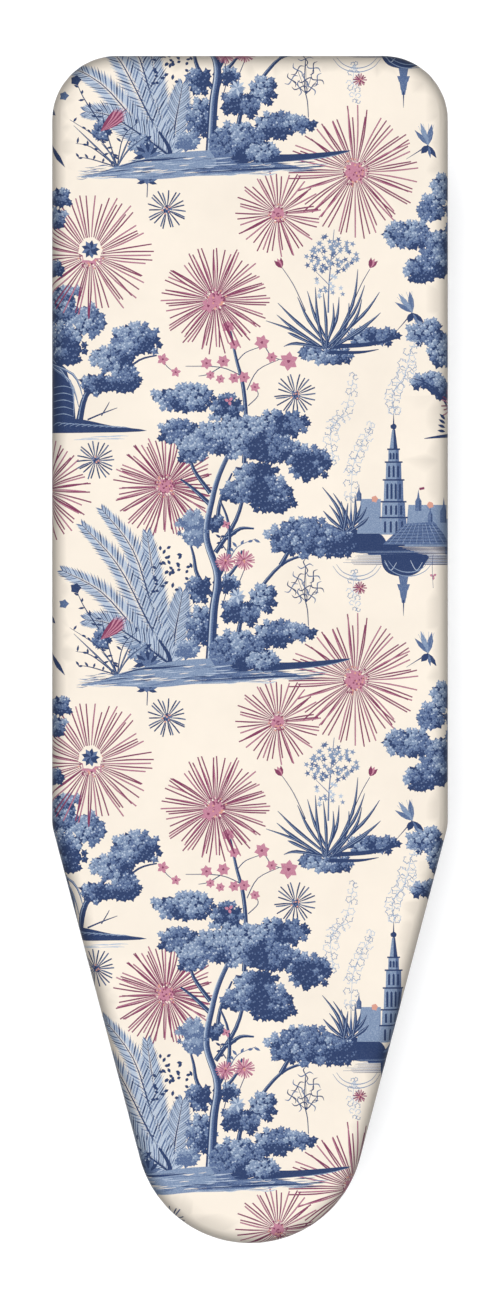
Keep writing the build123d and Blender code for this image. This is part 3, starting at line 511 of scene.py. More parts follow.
def draw_left_tree():
    """The tree that the left side of the board cuts through, on its own strip of ground."""
    fill(NAVY, [(-250, 300), (-204, 300), (-186, 284), (-178, 258), (-176, 232), (-250, 228)])
    stroke(NAVY, ((-172, 232), (-166, 256), (-150, 276), (-140, 294)), 7, 5, 3)
    stroke(SKY, ((-172, 232), (-166, 256), (-150, 276), (-140, 294)), 1, 1, 0.6, shift=1.4)
    stroke(NAVY, ((-164, 232), (-150, 238), (-134, 244)), 1.8, 1.4, 0.6)
    stroke(NAVY, ((-150, 236), (-144, 246), (-142, 250)), 1.2, 1.0, 0.5)
    stroke(NAVY, ((-132, 276), (-112, 292), (-94, 297)), 2.4, 2.0, 1.4)
    stroke(NAVY, ((-90, 296), (-84, 286), (-76, 280)), 0.9, 0.8, 0.6)
    canopies((-230, 330, 30, 30, 0.1), (-196, 344, 22, 16, 0.3), (-162, 332, 17, 16, 0.2),
             (-190, 308, 24, 22), (-116, 312, 25, 17, 0.1), (-140, 294, 22, 13, 0.2),
             (-126, 273, 15, 15, -0.2), (-155, 268, 18, 11, -0.1), (-230, 262, 26, 26, -0.4),
             (-186, 360, 13, 8, 0.3))
    for lean, tip in ((10, (-172, 242)), (14, (-178, 236)), (6, (-184, 270)), (4, (-196, 288)),
                      (12, (-168, 252))):
        blade(tip, (-214, 292), lean, 2.6, BLUE, MIST)
    for y in (236, 243, 250, 257, 264):
        stroke(SKY, ((-200, y), (-188, y + 2), (-178, y - 1)), 0.5, 1.0, 0.3)
    pool(NAVY, [(-250, 236), (-196, 234), (-168, 232), (-140, 226), (-104, 221), (-150, 219),
                                 (-250, 220), (-250, 236)])
    for i in range(12):
        x = -200 + 6 * i
        stroke(SKY, ((x, 226 - 0.2 * i), (x + 6, 229 - 0.4 * i), (x + 13, 228 - 0.4 * i)), 0.4, 1.0, 0.3)
    for i in range(9):
        x = -198 + rng.uniform(0, 60)
        y = 216 - 6 * rng.random()
        stroke(MIST, ((x, y), (x + 8, y + 0.4), (x + 18, y)), 0.3, 0.9, 0.3)
    blossom(PINK, -88, 293, 6.5, 5)
    blossom(PINK, -75, 280, 5.5, 5)
    canopies((-194, -57, 13, 10, -0.2), (-197, -79, 12, 11, -0.2), (-230, -66, 26, 24, -0.2),
             (-197, -129, 11, 8, -0.2))
    leaf(NAVY, -204, -2, -0.95, 30, 5)
    leaf(NAVY, -206, 34, -0.7, 12, 5)


def draw_right_trees():
    """Leaf masses that the right side of the board cuts through."""
    canopies((197, -46, 15, 13), (184, -68, 15, 13), (226, -80, 24, 40, -0.2), (194, -110, 22, 22, -0.2),
             (159, -94, 25, 15, 0.25), (177, -129, 21, 14), (226, 300, 24, 40, -0.1), (178, 320, 19, 13, 0.3),
             (194, 300, 16, 16, 0.1), (180, 271, 16, 9, -0.1), (194, 262, 13, 11, -0.1))
    stroke(NAVY, ((214, 226), (196, 252), (180, 268), (164, 274)), 3, 2, 0.8)
    stroke(NAVY, ((176, 213), (192, 215), (214, 217)), 0.6, 3, 5)
    starburst(214, 246, 22, 26)
    for i in range(4):
        leaf(NAVY, 198, 232 - 4 * i, 2.4 + 0.2 * i, 9, 3)


def draw_grass():
    """The tuft of grass on a leafy mound, with a sapling and two tulips behind it."""
    stroke(BLUE, ((79, 340), (80, 372), (85, 424)), 1.8, 1.2, 0.6)
    strokes(BLUE, (0.9, 0.8, 0.4), ((80, 368), (62, 386)), ((80, 372), (100, 392)), ((82, 384), (70, 404)),
            ((83, 394), (98, 410)))
    for i in range(60):
        a = rng.uniform(0, 6.28)
        r = math.sqrt(rng.random())
        rosette((SKY, BLUE, SKY)[i % 3], 80 + 29 * r * math.cos(a), 398 + 20 * r * math.sin(a), 3.4, 5, 0.6)
    for i in range(16):
        rosette((SKY, MIST)[i % 2], 80 + rng.uniform(-14, 14), 366 + rng.uniform(-10, 12), 3.0, 5, 0.6)
    canopies((60, 300, 13, 7, -0.1), (80, 296, 24, 9), (122, 316, 27, 9, -0.2))
    stroke(NAVY, ((84, 306), (120, 308), (148, 314)), 5, 4, 0.5)
    stroke(NAVY, ((80, 300), (110, 300), (130, 303)), 4, 3, 0.5)
    strokes(NAVY, (0.9, 0.8, 0.6), ((56, 342), (44, 368), (32, 386)), ((100, 340), (112, 368), (121, 384)))
    for tip, lean in (
        ((16, 332), 4), ((28, 350), -6), ((27, 338), -8), ((38, 320), -10), ((34, 306), -8), ((48, 356), -5),
        ((58, 362), -4), ((66, 366), -2), ((90, 356), 5), ((84, 350), 4), ((109, 384), 8), ((100, 350), 6),
        ((116, 368), 8), ((131, 361), 10), ((132, 340), 10), ((122, 330), 8), ((113, 354), 8), ((74, 360), 1),
    ):
        blade(tip, (78 + rng.uniform(-6, 6), 304), lean)
    for x, y, tilt in ((32, 388, 2.0), (121, 388, 1.1)):
        for spread in (-0.35, 0, 0.35):
            leaf((MAGENTA, PINK, MAGENTA)[int(spread * 3) + 1], x, y - 3, tilt + spread, 11, 4)


def draw_sprays():
    """Pale outlined sprays, and the smoke above the tower."""
    for path, radius, count in (
        (((84, 190), (82, 222), (96, 240), (105, 276)), 5, 13),
        (((102, 152), (104, 184), (112, 206), (123, 226)), 5, 12),
        (((146, 240), (144, 258), (156, 276), (160, 292), (167, 314)), 6, 15),
        (((106, 78), (104, 60), (108, 40)), 3.5, 7),
    ):
        curve = smooth(path, 10)
        stroke(MIST, path, 0.5, 0.6, 0.3)
        for i in range(count):
            x, y = curve[int(i * (len(curve) - 1) / (count - 1))]
            swell = math.sin(math.pi * (0.15 + 0.8 * i / count))
            for side in (-1, 1):
                ring_outline((SKY, MIST)[i % 2], x + side * radius * 0.8 * swell + rng.uniform(-1.5, 1.5),
                             y + rng.uniform(-2, 2), radius * (0.4 + 0.5 * swell), 5, 0.75)


def draw_tower():
    """A generic tiered tower with sheds beside it, on the bank of a lake."""
    centre = 145
    for x0, x1, low, high in ((108, 132, 117, 152), (156, 200, 104, 146), (196, 250, 104, 132)):
        fill(SKY, [(x0, low), (x1, low), (x1, high), (x0 + 4, high)])
    for x, low, half, height in ((110, 150, 2.6, 16), (170, 140, 3.2, 22), (182, 128, 2.6, 18),
                                 (196, 128, 4, 26), (102, 116, 1.4, 42), (226, 128, 5, 30)):
        fill(BLUE, [(x - half, low), (x + half, low), (x + half, low + height * 0.45),
                              (x + half * 0.4, low + height * 0.6), (x, low + height),
                              (x - half * 0.4, low + height * 0.6), (x - half, low + height * 0.45)])
        stroke(NAVY, ((x + half * 0.5, low), (x + half * 0.5, low + height * 0.5)), 0.8, 0.8, 0.8)
    for half, low, high in ((13.5, 116, 134), (12, 134, 150), (10, 150, 172), (8, 172, 190), (5.5, 190, 203)):
        fill(SKY, [(centre - half, low), (centre + half, low), (centre + half * 0.94, high),
                             (centre - half * 0.94, high)])
        fill(BLUE, [(centre + half * 0.35, low), (centre + half, low), (centre + half * 0.94, high),
                              (centre + half * 0.35, high)])
        fill(NAVY, [(centre - half - 1, high - 1.6), (centre + half + 1, high - 1.6),
                              (centre + half + 1, high), (centre - half - 1, high)])
        arches = 3 if half < 9 else 4
        for i in range(arches):
            x = centre + (i - (arches - 1) / 2) * half * 1.7 / arches
            top = high - 4
            fill(NAVY, [(x - 1.1, low + 2), (x + 1.1, low + 2), (x + 1.1, top - 1.5), (x, top),
                                  (x - 1.1, top - 1.5)])
    fill(SKY, [(centre - 4, 203), (centre + 4, 203), (centre + 1.6, 222), (centre - 1.6, 222)])
    fill(NAVY, [(centre, 203), (centre + 4, 203), (centre + 1.6, 222), (centre, 222)])
    rosette(NAVY, centre, 225, 3.2, 6, 0.1)
    stroke(NAVY, ((centre, 226), (centre, 238)), 1.6, 1.0, 0.4)
    roof = [(134, 106), (156, 127), (186, 129), (204, 106)]
    fill(BLUE, roof)
    for i in range(1, 7):
        t = i / 7
        stroke(NAVY, ((134 + 22 * t, 106 + 21 * t), (204 - 18 * t, 106 + 23 * t)), 0.6, 0.6, 0.6)
    for i in range(9):
        x = 140 + 7 * i
        stroke(SKY, ((x, 107), (158 + 3.2 * i, 127)), 0.5, 0.5, 0.5)
    stroke(MAGENTA, ((171, 162), (176, 163)), 2.4, 2.4, 2.4)
    for x, y in ((126, 152), (182, 146)):
        rosette(PEACH, x, y, 3.6, 5, 0.2)


def draw_lake():
    """The dark far bank, the ruled water under it, and the tower's reflection."""
    pool(NAVY, [(78, 117), (96, 121), (124, 120), (136, 112), (136, 101), (112, 97),
                                 (88, 104), (78, 117)])
    fill(NAVY, [(112, 106), (250, 106), (250, 97), (120, 95)])
    for i in range(16):
        y = 100 - 0.95 * i
        x = 116 - 2.5 * i + rng.uniform(-8, 8) + 1.2 * i
        width = 0.9 if i % 2 else 0.5
        stroke((NAVY, BLUE, SKY)[i % 3], ((x, y), (x + 60, y + 0.2), (250, y)), 0.3, width, width)
    for i in range(7):
        y = 104 - 1.3 * i
        stroke(CREAM, ((150 + 4 * i, y), (176 + 3 * i, y + 0.1), (198, y)), 0.2, 0.5, 0.2)
    pool(NAVY, [(132, 96), (134, 84), (140, 77), (150, 74), (160, 74), (170, 78), (176, 86),
                                 (178, 96), (132, 96)])
    for x in (142, 168):
        stroke(MIST, ((x - 6, 90), (x, 80), (x + 6, 88)), 0.5, 0.8, 0.4)
    for half, top, low in ((5, 74, 66), (6.5, 66, 60), (4, 60, 52), (2.4, 52, 47)):
        foot = half * 0.7
        fill(BLUE, [(155 - half, top), (155 + half, top), (155 + foot, low), (155 - foot, low)])
    stroke(NAVY, ((155, 50), (155, 34)), 1.6, 1.0, 0.3)
    for centre in ((108, 92), (160, 96)):
        for spread in (0, 4):
            points = [(centre[0] + (22 + spread) * math.cos(a), centre[1] + (18 + spread) * math.sin(a))
                      for a in (math.radians(200 + 28 * i) for i in range(6))]
            stroke(SKY, points, 0.4, 1.1, 0.4)
    starburst(111, 62, 7, 14, MAGENTA, PINK, 1.4)
    blossom(PINK, 185, 74, 4, 3)
    stroke(NAVY, ((185, 96), (184, 84), (185, 62)), 0.6, 0.5, 0.4)


def draw_agave():
    """Spiky leaves on the bank, to the left of the tower."""
    for tip, lean in (((73, 164), 4), ((80, 146), 2), ((74, 140), -4), ((84, 158), 2), ((92, 150), 0),
                      ((112, 146), 3), ((118, 144), 5), ((106, 156), 2), ((70, 128), -5), ((120, 134), 5),
                      ((99, 148), 0)):
        blade(tip, (99 + rng.uniform(-5, 5), 117), lean, 3.6)


def draw_lily():
    """A plant drawn in outline, with curled petals on a thin stem."""
    stroke(NAVY, ((59, 24), (58, 40), (55, 56), (56, 84)), 0.8, 1.1, 0.7)
    heads = ((56, 62), (48, 72), (64, 74), (56, 84), (42, 62), (68, 62), (50, 54), (62, 54))
    for i, (x, y) in enumerate(heads):
        for side in range(4):
            a = 1.6 * side + 0.5 * i
            tip = (x + 8 * math.cos(a), y + 8 * math.sin(a))
            middle = (x + 5 * math.cos(a + 0.5), y + 5 * math.sin(a + 0.5))
            stroke((NAVY, BLUE)[side % 2], ((x, y), middle, tip), 0.9, 1.2, 0.3, steps=3)
        stroke(NAVY, ((x, y), (57, 48)), 0.5, 0.5, 0.5)


def draw_bird(x, y, size, turn):
    """A small hovering bird with two raised wings and a long beak."""
    feathers = ((0.4, 1.0, 0.26, BLUE), (0.9, 1.1, 0.24, SKY), (1.3, 0.95, 0.2, BLUE),
                (-2.0, 0.7, 0.2, NAVY), (-2.4, 0.6, 0.14, BLUE), (3.0, 0.5, 0.3, NAVY))
    for offset, length, width, ink in feathers:
        leaf(ink, x, y, turn + offset, size * length, size * width)
    for offset in (0.3, 0.55, 0.8, 1.05):
        tip = (x + size * math.cos(turn + offset), y + size * math.sin(turn + offset))
        stroke(SKY, ((x, y), tip), 0.4, 0.5, 0.3)
    beak = (x + size * 1.2 * math.cos(turn + 2.7), y + size * 1.2 * math.sin(turn + 2.7))
    stroke(NAVY, ((x, y), beak), 1.6, 0.8, 0.3)


def draw_repeat():
    """One repeat of the whole print, back to front."""
    for flower in ((106, -31, 66, 64), (28, -73, 44, 44), (-161, -115, 63, 62), (-35, -160, 54, 72),
                   (-85, 165, 52, 72), (-211, 161, 52, 60)):
        starburst(*flower)
    rosette(CREAM, -161, -109, 13, 9, 0.15)
    for i in range(9):
        leaf((NAVY, BLUE)[i % 2], -161, -109, 0.7 * i, 9.5, 4.4)
    for x, y, radius in ((-84, -69, 21), (46, 257, 22), (-156, 191, 20)):
        starburst(x, y, radius, 22, NAVY, BLUE, 1.5)
    blossom(PINK, -42, -166, 8, 5)
    draw_left_tree()
    draw_right_trees()
    draw_sprays()
    draw_grass()
    draw_lake()
    draw_tower()
    draw_agave()
    draw_lily()
    draw_palms()
    draw_main_tree()
    draw_orchids()
    draw_island()
    canopies((-12, 0, 27, 16), (12, -11, 17, 10, 0.25))
    draw_bird(180, -4, 22, 1.0)
    draw_bird(164, 340, 22, 1.3)


draw_repeat()


# ------------------------------------------------------------------ laying the print on the cloth
def cloth_shapes():
    """Every repeat's shapes that reach the cloth: inks, loops and the low and high corners of their boxes."""
    reach = np.array((HALF_WIDTH, HALF_LENGTH)) - TOP_ROLL + SKIRT
    inks, loops, lows, highs = [], [], [], []
    for repeat in (-2, -1, 0, 1, 2):
        for ink, points in shapes:
            loop = np.array(points) + (0, repeat * REPEAT)
            low, high = loop.min(axis=0), loop.max(axis=0)
            if (high > -reach).all() and (low < reach).all():
                for kept, value in zip((inks, loops, lows, highs), (ink, loop, low, high)):
                    kept.append(value)
    return inks, loops, np.array(lows), np.array(highs)


TOP_GRID = 14.0  # spacing of the extra points that let the flat top follow the pad
TOP_GRID_MARGIN = 4.0  # from the start of the rolled edge
SKIRT_STEP = 4.0  # spacing of the points round the skirt
SKIRT_RINGS = (0, 3.5, 7, 10.5, 14.2, 19, 24, 28, 32, 36.7, 43, 50)
CELL = 64.0  # the pattern is cut up cell by cell, which is much quicker than all at once
SNAP = 1000.0  # points nearer than a thousandth of a millimetre are one point
SAME_POINT = 1e-4  # the triangulation joins points nearer than this


def triangulate(points, edges, faces):
    """Points and triangles, as arrays, that keep the given edges and the faces' edges."""
    verts, _, tris, _, _, _ = geometry.delaunay_2d_cdt(points, edges, faces, 0, SAME_POINT, False)
    return np.array([tuple(v) for v in verts]), np.array([tuple(t) for t in tris])


def meeting(low, high, low_x, low_y):
    """Which of the boxes, given by their low and high corners, meet the cell at (low_x, low_y)."""
    cell = np.array((low_x, low_y))
    return np.nonzero(((high > cell) & (low < cell + CELL)).all(axis=1))[0]


def inside_loop(loop, centres):
    """Which of the centres lie inside a closed loop, by its winding number."""
    corners = np.asarray(loop)
    found = np.zeros(len(centres), bool)
    low, high = corners.min(axis=0), corners.max(axis=0)
    near = np.nonzero(((centres >= low) & (centres <= high)).all(axis=1))[0]
    if not len(near):
        return found
    ax, ay = corners[:, 0:1], corners[:, 1:2]
    bx, by = np.roll(ax, -1, axis=0), np.roll(ay, -1, axis=0)
    x, y = centres[near, 0], centres[near, 1]
    side = (bx - ax) * (y - ay) - (by - ay) * (x - ax)
    up = (ay <= y) & (by > y) & (side > 0)
    down = (ay > y) & (by <= y) & (side < 0)
    found[near] = up.sum(axis=0) != down.sum(axis=0)
    return found


def cut_up(points, edges, faces, cell, border):
    """Triangles of one cell inside the border: the points, their corners and the centres."""
    flat, corners = triangulate(points, edges, faces)
    centres = flat[corners].mean(axis=1)
    inside = inside_loop(cell, centres)
    low, high = np.array(cell[0]) - SKIRT_STEP, np.array(cell[2]) + SKIRT_STEP
    if ((border > low) & (border < high)).all(axis=1).any():
        inside &= inside_loop(border, centres)
    elif not inside_loop(border, np.array([cell[0]])).any():
        inside[:] = False
    return flat, corners[inside], centres[inside]


def top_inks(printed, centres):
    """The ink that shows at each centre: that of the last shape drawn over it."""
    inks = np.full(len(centres), CREAM)
    for ink, loop in printed:
        inks[inside_loop(loop, centres)] = ink
    return inks


def colour_edges(flat, corners, inks):
    """The edges where two inks meet, and those on the rim of the cell or of the cloth."""
    sides = np.sort(np.concatenate([corners[:, [0, 1]], corners[:, [1, 2]], corners[:, [2, 0]]]), axis=1)
    unique, owner, uses = np.unique(sides, axis=0, return_inverse=True, return_counts=True)
    low = np.full(len(unique), len(INKS))
    high = np.full(len(unique), -1)
    np.minimum.at(low, owner.ravel(), np.tile(inks, 3))
    np.maximum.at(high, owner.ravel(), np.tile(inks, 3))
    kept = unique[(low != high) | (uses == 1)]
    used, places = np.unique(kept, return_inverse=True)
    return [Vector(flat[v]) for v in used], [tuple(int(v) for v in e) for e in places.reshape(kept.shape)]


def skirt_segments():
    """Both ends of every short piece of the skirt's rings."""
    rings = [np.array(outline(TOP_ROLL - ring, SKIRT_STEP)) for ring in SKIRT_RINGS]
    return np.concatenate(rings), np.concatenate([np.roll(ring, -1, axis=0) for ring in rings])


def add_sheet_lines(points, edges, starts, ends, low_x, low_y):
    """Adds the skirt's rings and a grid over the flat top, so that the cloth can bend."""
    for i in meeting(np.minimum(starts, ends), np.maximum(starts, ends), low_x, low_y):
        edges.append((len(points), len(points) + 1))
        points.extend((Vector(starts[i]), Vector(ends[i])))
    limit_x = HALF_WIDTH - TOP_ROLL - TOP_GRID_MARGIN
    limit_y = HALF_LENGTH - TOP_ROLL - TOP_GRID_MARGIN
    for x in np.arange(low_x + TOP_GRID / 2, low_x + CELL - 1, TOP_GRID):
        for y in np.arange(low_y + TOP_GRID / 2, low_y + CELL - 1, TOP_GRID):
            if abs(x) < limit_x and abs(y) < limit_y:
                points.append(Vector((x, y)))


def printed_sheet():
    """The cover's flat pattern cut into triangles along every printed edge, with each one's ink."""
    border = np.array(outline(TOP_ROLL - SKIRT, SKIRT_STEP))
    starts, ends = skirt_segments()
    inks, loops, lows, highs = cloth_shapes()
    columns = math.ceil((HALF_WIDTH - TOP_ROLL + SKIRT) / CELL)
    rows = math.ceil((HALF_LENGTH - TOP_ROLL + SKIRT) / CELL)
    index, places, kept, kept_inks = {}, [], [], []
    for low_x in (column * CELL for column in range(-columns, columns)):
        for low_y in (row * CELL for row in range(-rows, rows)):
            high_x, high_y = low_x + CELL, low_y + CELL
            cell = [(low_x, low_y), (high_x, low_y), (high_x, high_y), (low_x, high_y)]
            here = [(inks[i], loops[i]) for i in meeting(lows, highs, low_x, low_y)]
            points, faces = [], []
            for loop in [cell, border] + [loop for _, loop in here]:
                faces.append(list(range(len(points), len(points) + len(loop))))
                points.extend(Vector(p) for p in loop)
            flat, corners, centres = cut_up(points, [], faces, cell, border)
            if not len(corners):
                continue
            # A second cut along the edges that show drops all that lies hidden under later shapes.
            points, edges = colour_edges(flat, corners, top_inks(here, centres))
            add_sheet_lines(points, edges, starts, ends, low_x, low_y)
            flat, corners, centres = cut_up(points, edges, [], cell, border)
            ids = {}
            for v in np.unique(corners):
                key = (round(flat[v][0] * SNAP), round(flat[v][1] * SNAP))
                if key not in index:
                    index[key] = len(places)
                    places.append((float(flat[v][0]), float(flat[v][1])))
                ids[v] = index[key]
            for tri, ink in zip(corners, top_inks(here, centres)):
                joined = [ids[v] for v in tri]
                if len(set(joined)) == 3:
                    kept.append(joined)
                    kept_inks.append(int(ink))
    return places, kept, kept_inks


def loop_frames(loop):
    """A closed loop's points, unit tangents and outward normals, and the distance along it."""
    points = np.array(loop)
    after = np.roll(points, -1, axis=0)
    tangent = after - np.roll(points, 1, axis=0)
    tangent /= np.linalg.norm(tangent, axis=1)[:, None]
    normal = np.stack([tangent[:, 1], -tangent[:, 0]], axis=1)
    if np.dot(normal[0], points[0]) < 0:
        normal = -normal
    along = np.concatenate([[0], np.cumsum(np.linalg.norm(after - points, axis=1))[:-1]])
    return points, tangent, normal, along


WRAP_STEP = 0.5  # spacing of the outline's points that the cloth is wrapped round
BEND_REACH = 20  # how many of those points a turn of the outline is measured over
BEND_SPREAD = 160  # and how many it is smoothed over
LIE = 0.55  # how far the cloth lies below the CAD's flat top
SHOULDER = 1.1  # how much more it sinks at the start of the rolled edge
SHOULDER_REACH = 16  # how quickly that fades towards the middle
EDGE_SHADE_START = 8  # painted shade on the cloth begins this far inside the rolled edge
HEM_DRAW = 0.94  # the gathered hem keeps this much of its width


class Wrap:
    """Carries flat cloth points onto the board: over the rolled edge, down the side and under."""

    def __init__(self):
        shelf, tangent, self.normal, self.along = loop_frames(outline(TOP_ROLL, WRAP_STEP))
        self.shelf = shelf
        self.tangent = tangent
        ahead = np.roll(tangent, -BEND_REACH, axis=0)
        turn = np.arctan2(*(ahead[:, ::-1].T)) - np.arctan2(*(tangent[:, ::-1].T))
        self.bend = np.abs((turn + math.pi) % (2 * math.pi) - math.pi)
        kernel = np.ones(BEND_SPREAD) / BEND_SPREAD
        wrapped = np.concatenate([self.bend[-BEND_SPREAD:], self.bend, self.bend[:BEND_SPREAD]])
        self.bend = np.convolve(wrapped, kernel, "same")[BEND_SPREAD:-BEND_SPREAD]
        self.bend /= self.bend.max()
        self.tree = kdtree.KDTree(len(shelf))
        for i, (x, y) in enumerate(shelf):
            self.tree.insert((x, y, 0), i)
        self.tree.balance()

    def profile(self, d):
        """How far out and down the cloth is, d along it from the flat top, and its outward direction."""
        if d <= ROLL_LENGTH:
            a = d / TOP_ROLL
            return TOP_ROLL * math.sin(a), TOP_ROLL * (1 - math.cos(a)), math.sin(a), math.cos(a)
        d -= ROLL_LENGTH
        if d <= SIDE_LENGTH:
            return TOP_ROLL, TOP_ROLL + d, 1.0, 0.0
        d -= SIDE_LENGTH
        if d <= HEM_ROLL_LENGTH:
            a = d / HEM_ROLL
            out = TOP_ROLL - HEM_ROLL * (1 - math.cos(a))
            return out, TOP_ROLL + SIDE_LENGTH + HEM_ROLL * math.sin(a), math.cos(a), -math.sin(a)
        d -= HEM_ROLL_LENGTH
        return TOP_ROLL - HEM_ROLL - d, COVER_DEPTH, 0.0, -1.0

    def pleat(self, along, d, bend):
        """How far a gathered pleat stands out of the smooth surface, in millimetres."""
        start = ROLL_LENGTH * 0.55
        if d < start:
            return 0.0
        grow = min(1, (d - start) / (SKIRT - start)) ** 1.3
        wave = 0.6 * math.sin(along * 0.42 + 2.2 * math.sin(along * 0.043))
        wave += 0.4 * math.sin(along * 0.23 + 1.7 * math.sin(along * 0.031) + 1)
        return (0.30 + 1.5 * bend) * grow * wave

    def place(self, x, y):
        """The wrapped place of the flat point (x, y), in millimetres, and how much painted shade darkens the
        cloth there.
        """
        _, index, _ = self.tree.find((x, y, 0))
        qx, qy = self.shelf[index]
        nx, ny = self.normal[index]
        tx, ty = self.tangent[index]
        d = (x - qx) * nx + (y - qy) * ny
        # Painted shade: its amount rises smoothly from just inside the rolled edge to full over the roll.
        shade_amount = min(1.0, max(0.0, (d + EDGE_SHADE_START) / (ROLL_LENGTH + EDGE_SHADE_START / 2)))
        shade_amount *= shade_amount * (3 - 2 * shade_amount)
        slide = (x - qx) * tx + (y - qy) * ty
        ripple = 0.35 * noise.noise((x * 0.012, y * 0.009, 3.0))
        ripple += 0.18 * noise.noise((x * 0.045, y * 0.03, 7.0))
        if d <= 0:
            soft = SHOULDER * math.exp(d / SHOULDER_REACH)
            return x, y, TOP_Z - max(0.05, LIE - ripple) - soft + SHOULDER * 0.5, shade_amount
        along = self.along[index] + slide
        out, down, side, up = self.profile(d)
        lift = self.pleat(along, d, self.bend[index])
        fade = max(0, 1 - d / ROLL_LENGTH)
        out += lift * side
        down -= lift * up
        down += fade * (LIE - ripple) + SHOULDER * 0.5 * fade
        keep = 1 if d < ROLL_LENGTH + SIDE_LENGTH else HEM_DRAW
        return qx + nx * out + tx * slide * keep, qy + ny * out + ty * slide * keep, TOP_Z - down, shade_amount


def mesh_object(name, verts, faces, smooth_faces=True):
    """A mesh object in metres from points in millimetres."""
    data = bpy.data.meshes.new(name)
    data.from_pydata([(x * MM, y * MM, z * MM) for x, y, z in verts], [], faces)
    data.validate()
    data.update()
    if smooth_faces:
        data.polygons.foreach_set("use_smooth", [True] * len(data.polygons))
    item = bpy.data.objects.new(name, data)
    bpy.context.scene.collection.objects.link(item)
    return item


# ------------------------------------------------------------------ materials
def srgb(red, green, blue):
    """A colour from 0 to 255 in sRGB, as Blender's linear colour."""
    values = [v / 255 for v in (red, green, blue)]
    return tuple(v / 12.92 if v <= 0.04045 else ((v + 0.055) / 1.055) ** 2.4 for v in values) + (1,)


def tint(colour, factor):
    """A colour made darker or lighter by a factor, as Blender's linear colour."""
    return srgb(*[min(255, c * factor) for c in colour])


class Nodes:
    """Short calls for building a material's node tree."""

    def __init__(self, name):
        self.material = bpy.data.materials.new(name)
        self.material.use_nodes = True
        self.tree = self.material.node_tree
        self.shader = self.tree.nodes["Principled BSDF"]
        self.place = self.tree.nodes.new("ShaderNodeTexCoord").outputs["Object"]

    def feed(self, socket, value):
        """Sets a socket to a constant, or links it to another node's output."""
        if isinstance(value, (int, float, tuple)):
            socket.default_value = value
        else:
            self.tree.links.new(value, socket)

    def noise(self, scale, detail=3.0, roughness=0.55):
        node = self.tree.nodes.new("ShaderNodeTexNoise")
        node.inputs["Scale"].default_value = scale
        node.inputs["Detail"].default_value = detail
        node.inputs["Roughness"].default_value = roughness
        self.tree.links.new(self.place, node.inputs["Vector"])
        return node.outputs["Fac"]

    def cells(self, scale):
        node = self.tree.nodes.new("ShaderNodeTexVoronoi")
        node.inputs["Scale"].default_value = scale
        self.tree.links.new(self.place, node.inputs["Vector"])
        return node.outputs["Distance"]

    def threads(self, scale, direction):
        node = self.tree.nodes.new("ShaderNodeTexWave")
        node.bands_direction = direction
        node.inputs["Scale"].default_value = scale
        node.inputs["Distortion"].default_value = 0.6
        node.inputs["Detail"].default_value = 1.0
        node.inputs["Detail Scale"].default_value = 2.0
        self.tree.links.new(self.place, node.inputs["Vector"])
        return node.outputs["Fac"]

    def clouds(self, scale, detail, low, high, to_low, to_high, roughness=0.55):
        """Noise, with low to high stretched to to_low to to_high."""
        return self.spread(self.noise(scale, detail, roughness), low, high, to_low, to_high)

    def math(self, operation, a, b):
        node = self.tree.nodes.new("ShaderNodeMath")
        node.operation = operation
        for socket, value in zip(node.inputs, (a, b)):
            self.feed(socket, value)
        return node.outputs["Value"]

    def spread(self, value, low, high, to_low, to_high):
        node = self.tree.nodes.new("ShaderNodeMapRange")
        for socket, number in zip(("From Min", "From Max", "To Min", "To Max"), (low, high, to_low, to_high)):
            node.inputs[socket].default_value = number
        self.tree.links.new(value, node.inputs["Value"])
        return node.outputs["Result"]

    def mix(self, factor, a, b):
        node = self.tree.nodes.new("ShaderNodeMix")
        node.data_type = "RGBA"
        for socket, value in zip([s for s in node.inputs if s.type == "RGBA"], (a, b)):
            self.feed(socket, value)
        self.feed(node.inputs["Factor"], factor)
        return [s for s in node.outputs if s.type == "RGBA"][0]

    def bump(self, height, strength, distance):
        node = self.tree.nodes.new("ShaderNodeBump")
        node.inputs["Strength"].default_value = strength
        node.inputs["Distance"].default_value = distance
        self.tree.links.new(height, node.inputs["Height"])
        self.tree.links.new(node.outputs["Normal"], self.shader.inputs["Normal"])

    def finish(self, colour, roughness, metallic=0.0):
        self.feed(self.shader.inputs["Base Color"], colour)
        self.feed(self.shader.inputs["Roughness"], roughness)
        self.shader.inputs["Metallic"].default_value = metallic
        return self.material


WEAVE = 1150.0  # threads of the cotton, as a wave texture's scale per metre


def cotton(name, colour, engraving=0.0, painted_edge_shade=False):
    """Plain woven cotton in one ink: threads across and along, uneven dye, and engraved flecks."""
    n = Nodes(name)
    base = srgb(*colour)
    pale = srgb(*[min(255, c + (255 - c) * 0.34) for c in colour])
    deep = tint(colour, 0.86)
    cloudy = n.clouds(14, 4, 0.3, 0.7, 0.0, 1.0)
    tone = n.mix(n.math("MULTIPLY", cloudy, 0.22), base, deep)
    if engraving:
        flecks = n.spread(n.cells(520), 0.18, 0.5, 0.0, engraving)
        grain = n.clouds(900, 2, 0.42, 0.62, 0.0, 1.0)
        tone = n.mix(n.math("MULTIPLY", flecks, grain), tone, pale)
    weft = n.threads(WEAVE, "X")
    warp = n.threads(WEAVE, "Y")
    weave = n.math("MULTIPLY", weft, warp)
    tone = n.mix(n.math("MULTIPLY", weave, 0.16), tone, pale)
    # Painted shade: the ink is darkened towards 0.62 of its colour where the point attribute is high, over
    # the rolled edge.
    if painted_edge_shade:
        shade_attribute = n.tree.nodes.new("ShaderNodeAttribute")
        shade_attribute.attribute_name = "painted_edge_shade"
        tone = n.mix(shade_attribute.outputs["Fac"], tone, tint(colour, 0.62))
    n.bump(weave, 0.25, 0.00025)
    n.shader.inputs["Sheen Weight"].default_value = 0.12
    n.shader.inputs["Sheen Roughness"].default_value = 0.5
    n.shader.inputs["Specular IOR Level"].default_value = 0.25
    return n.finish(tone, n.clouds(60, 2, 0.3, 0.7, 0.82, 0.95))


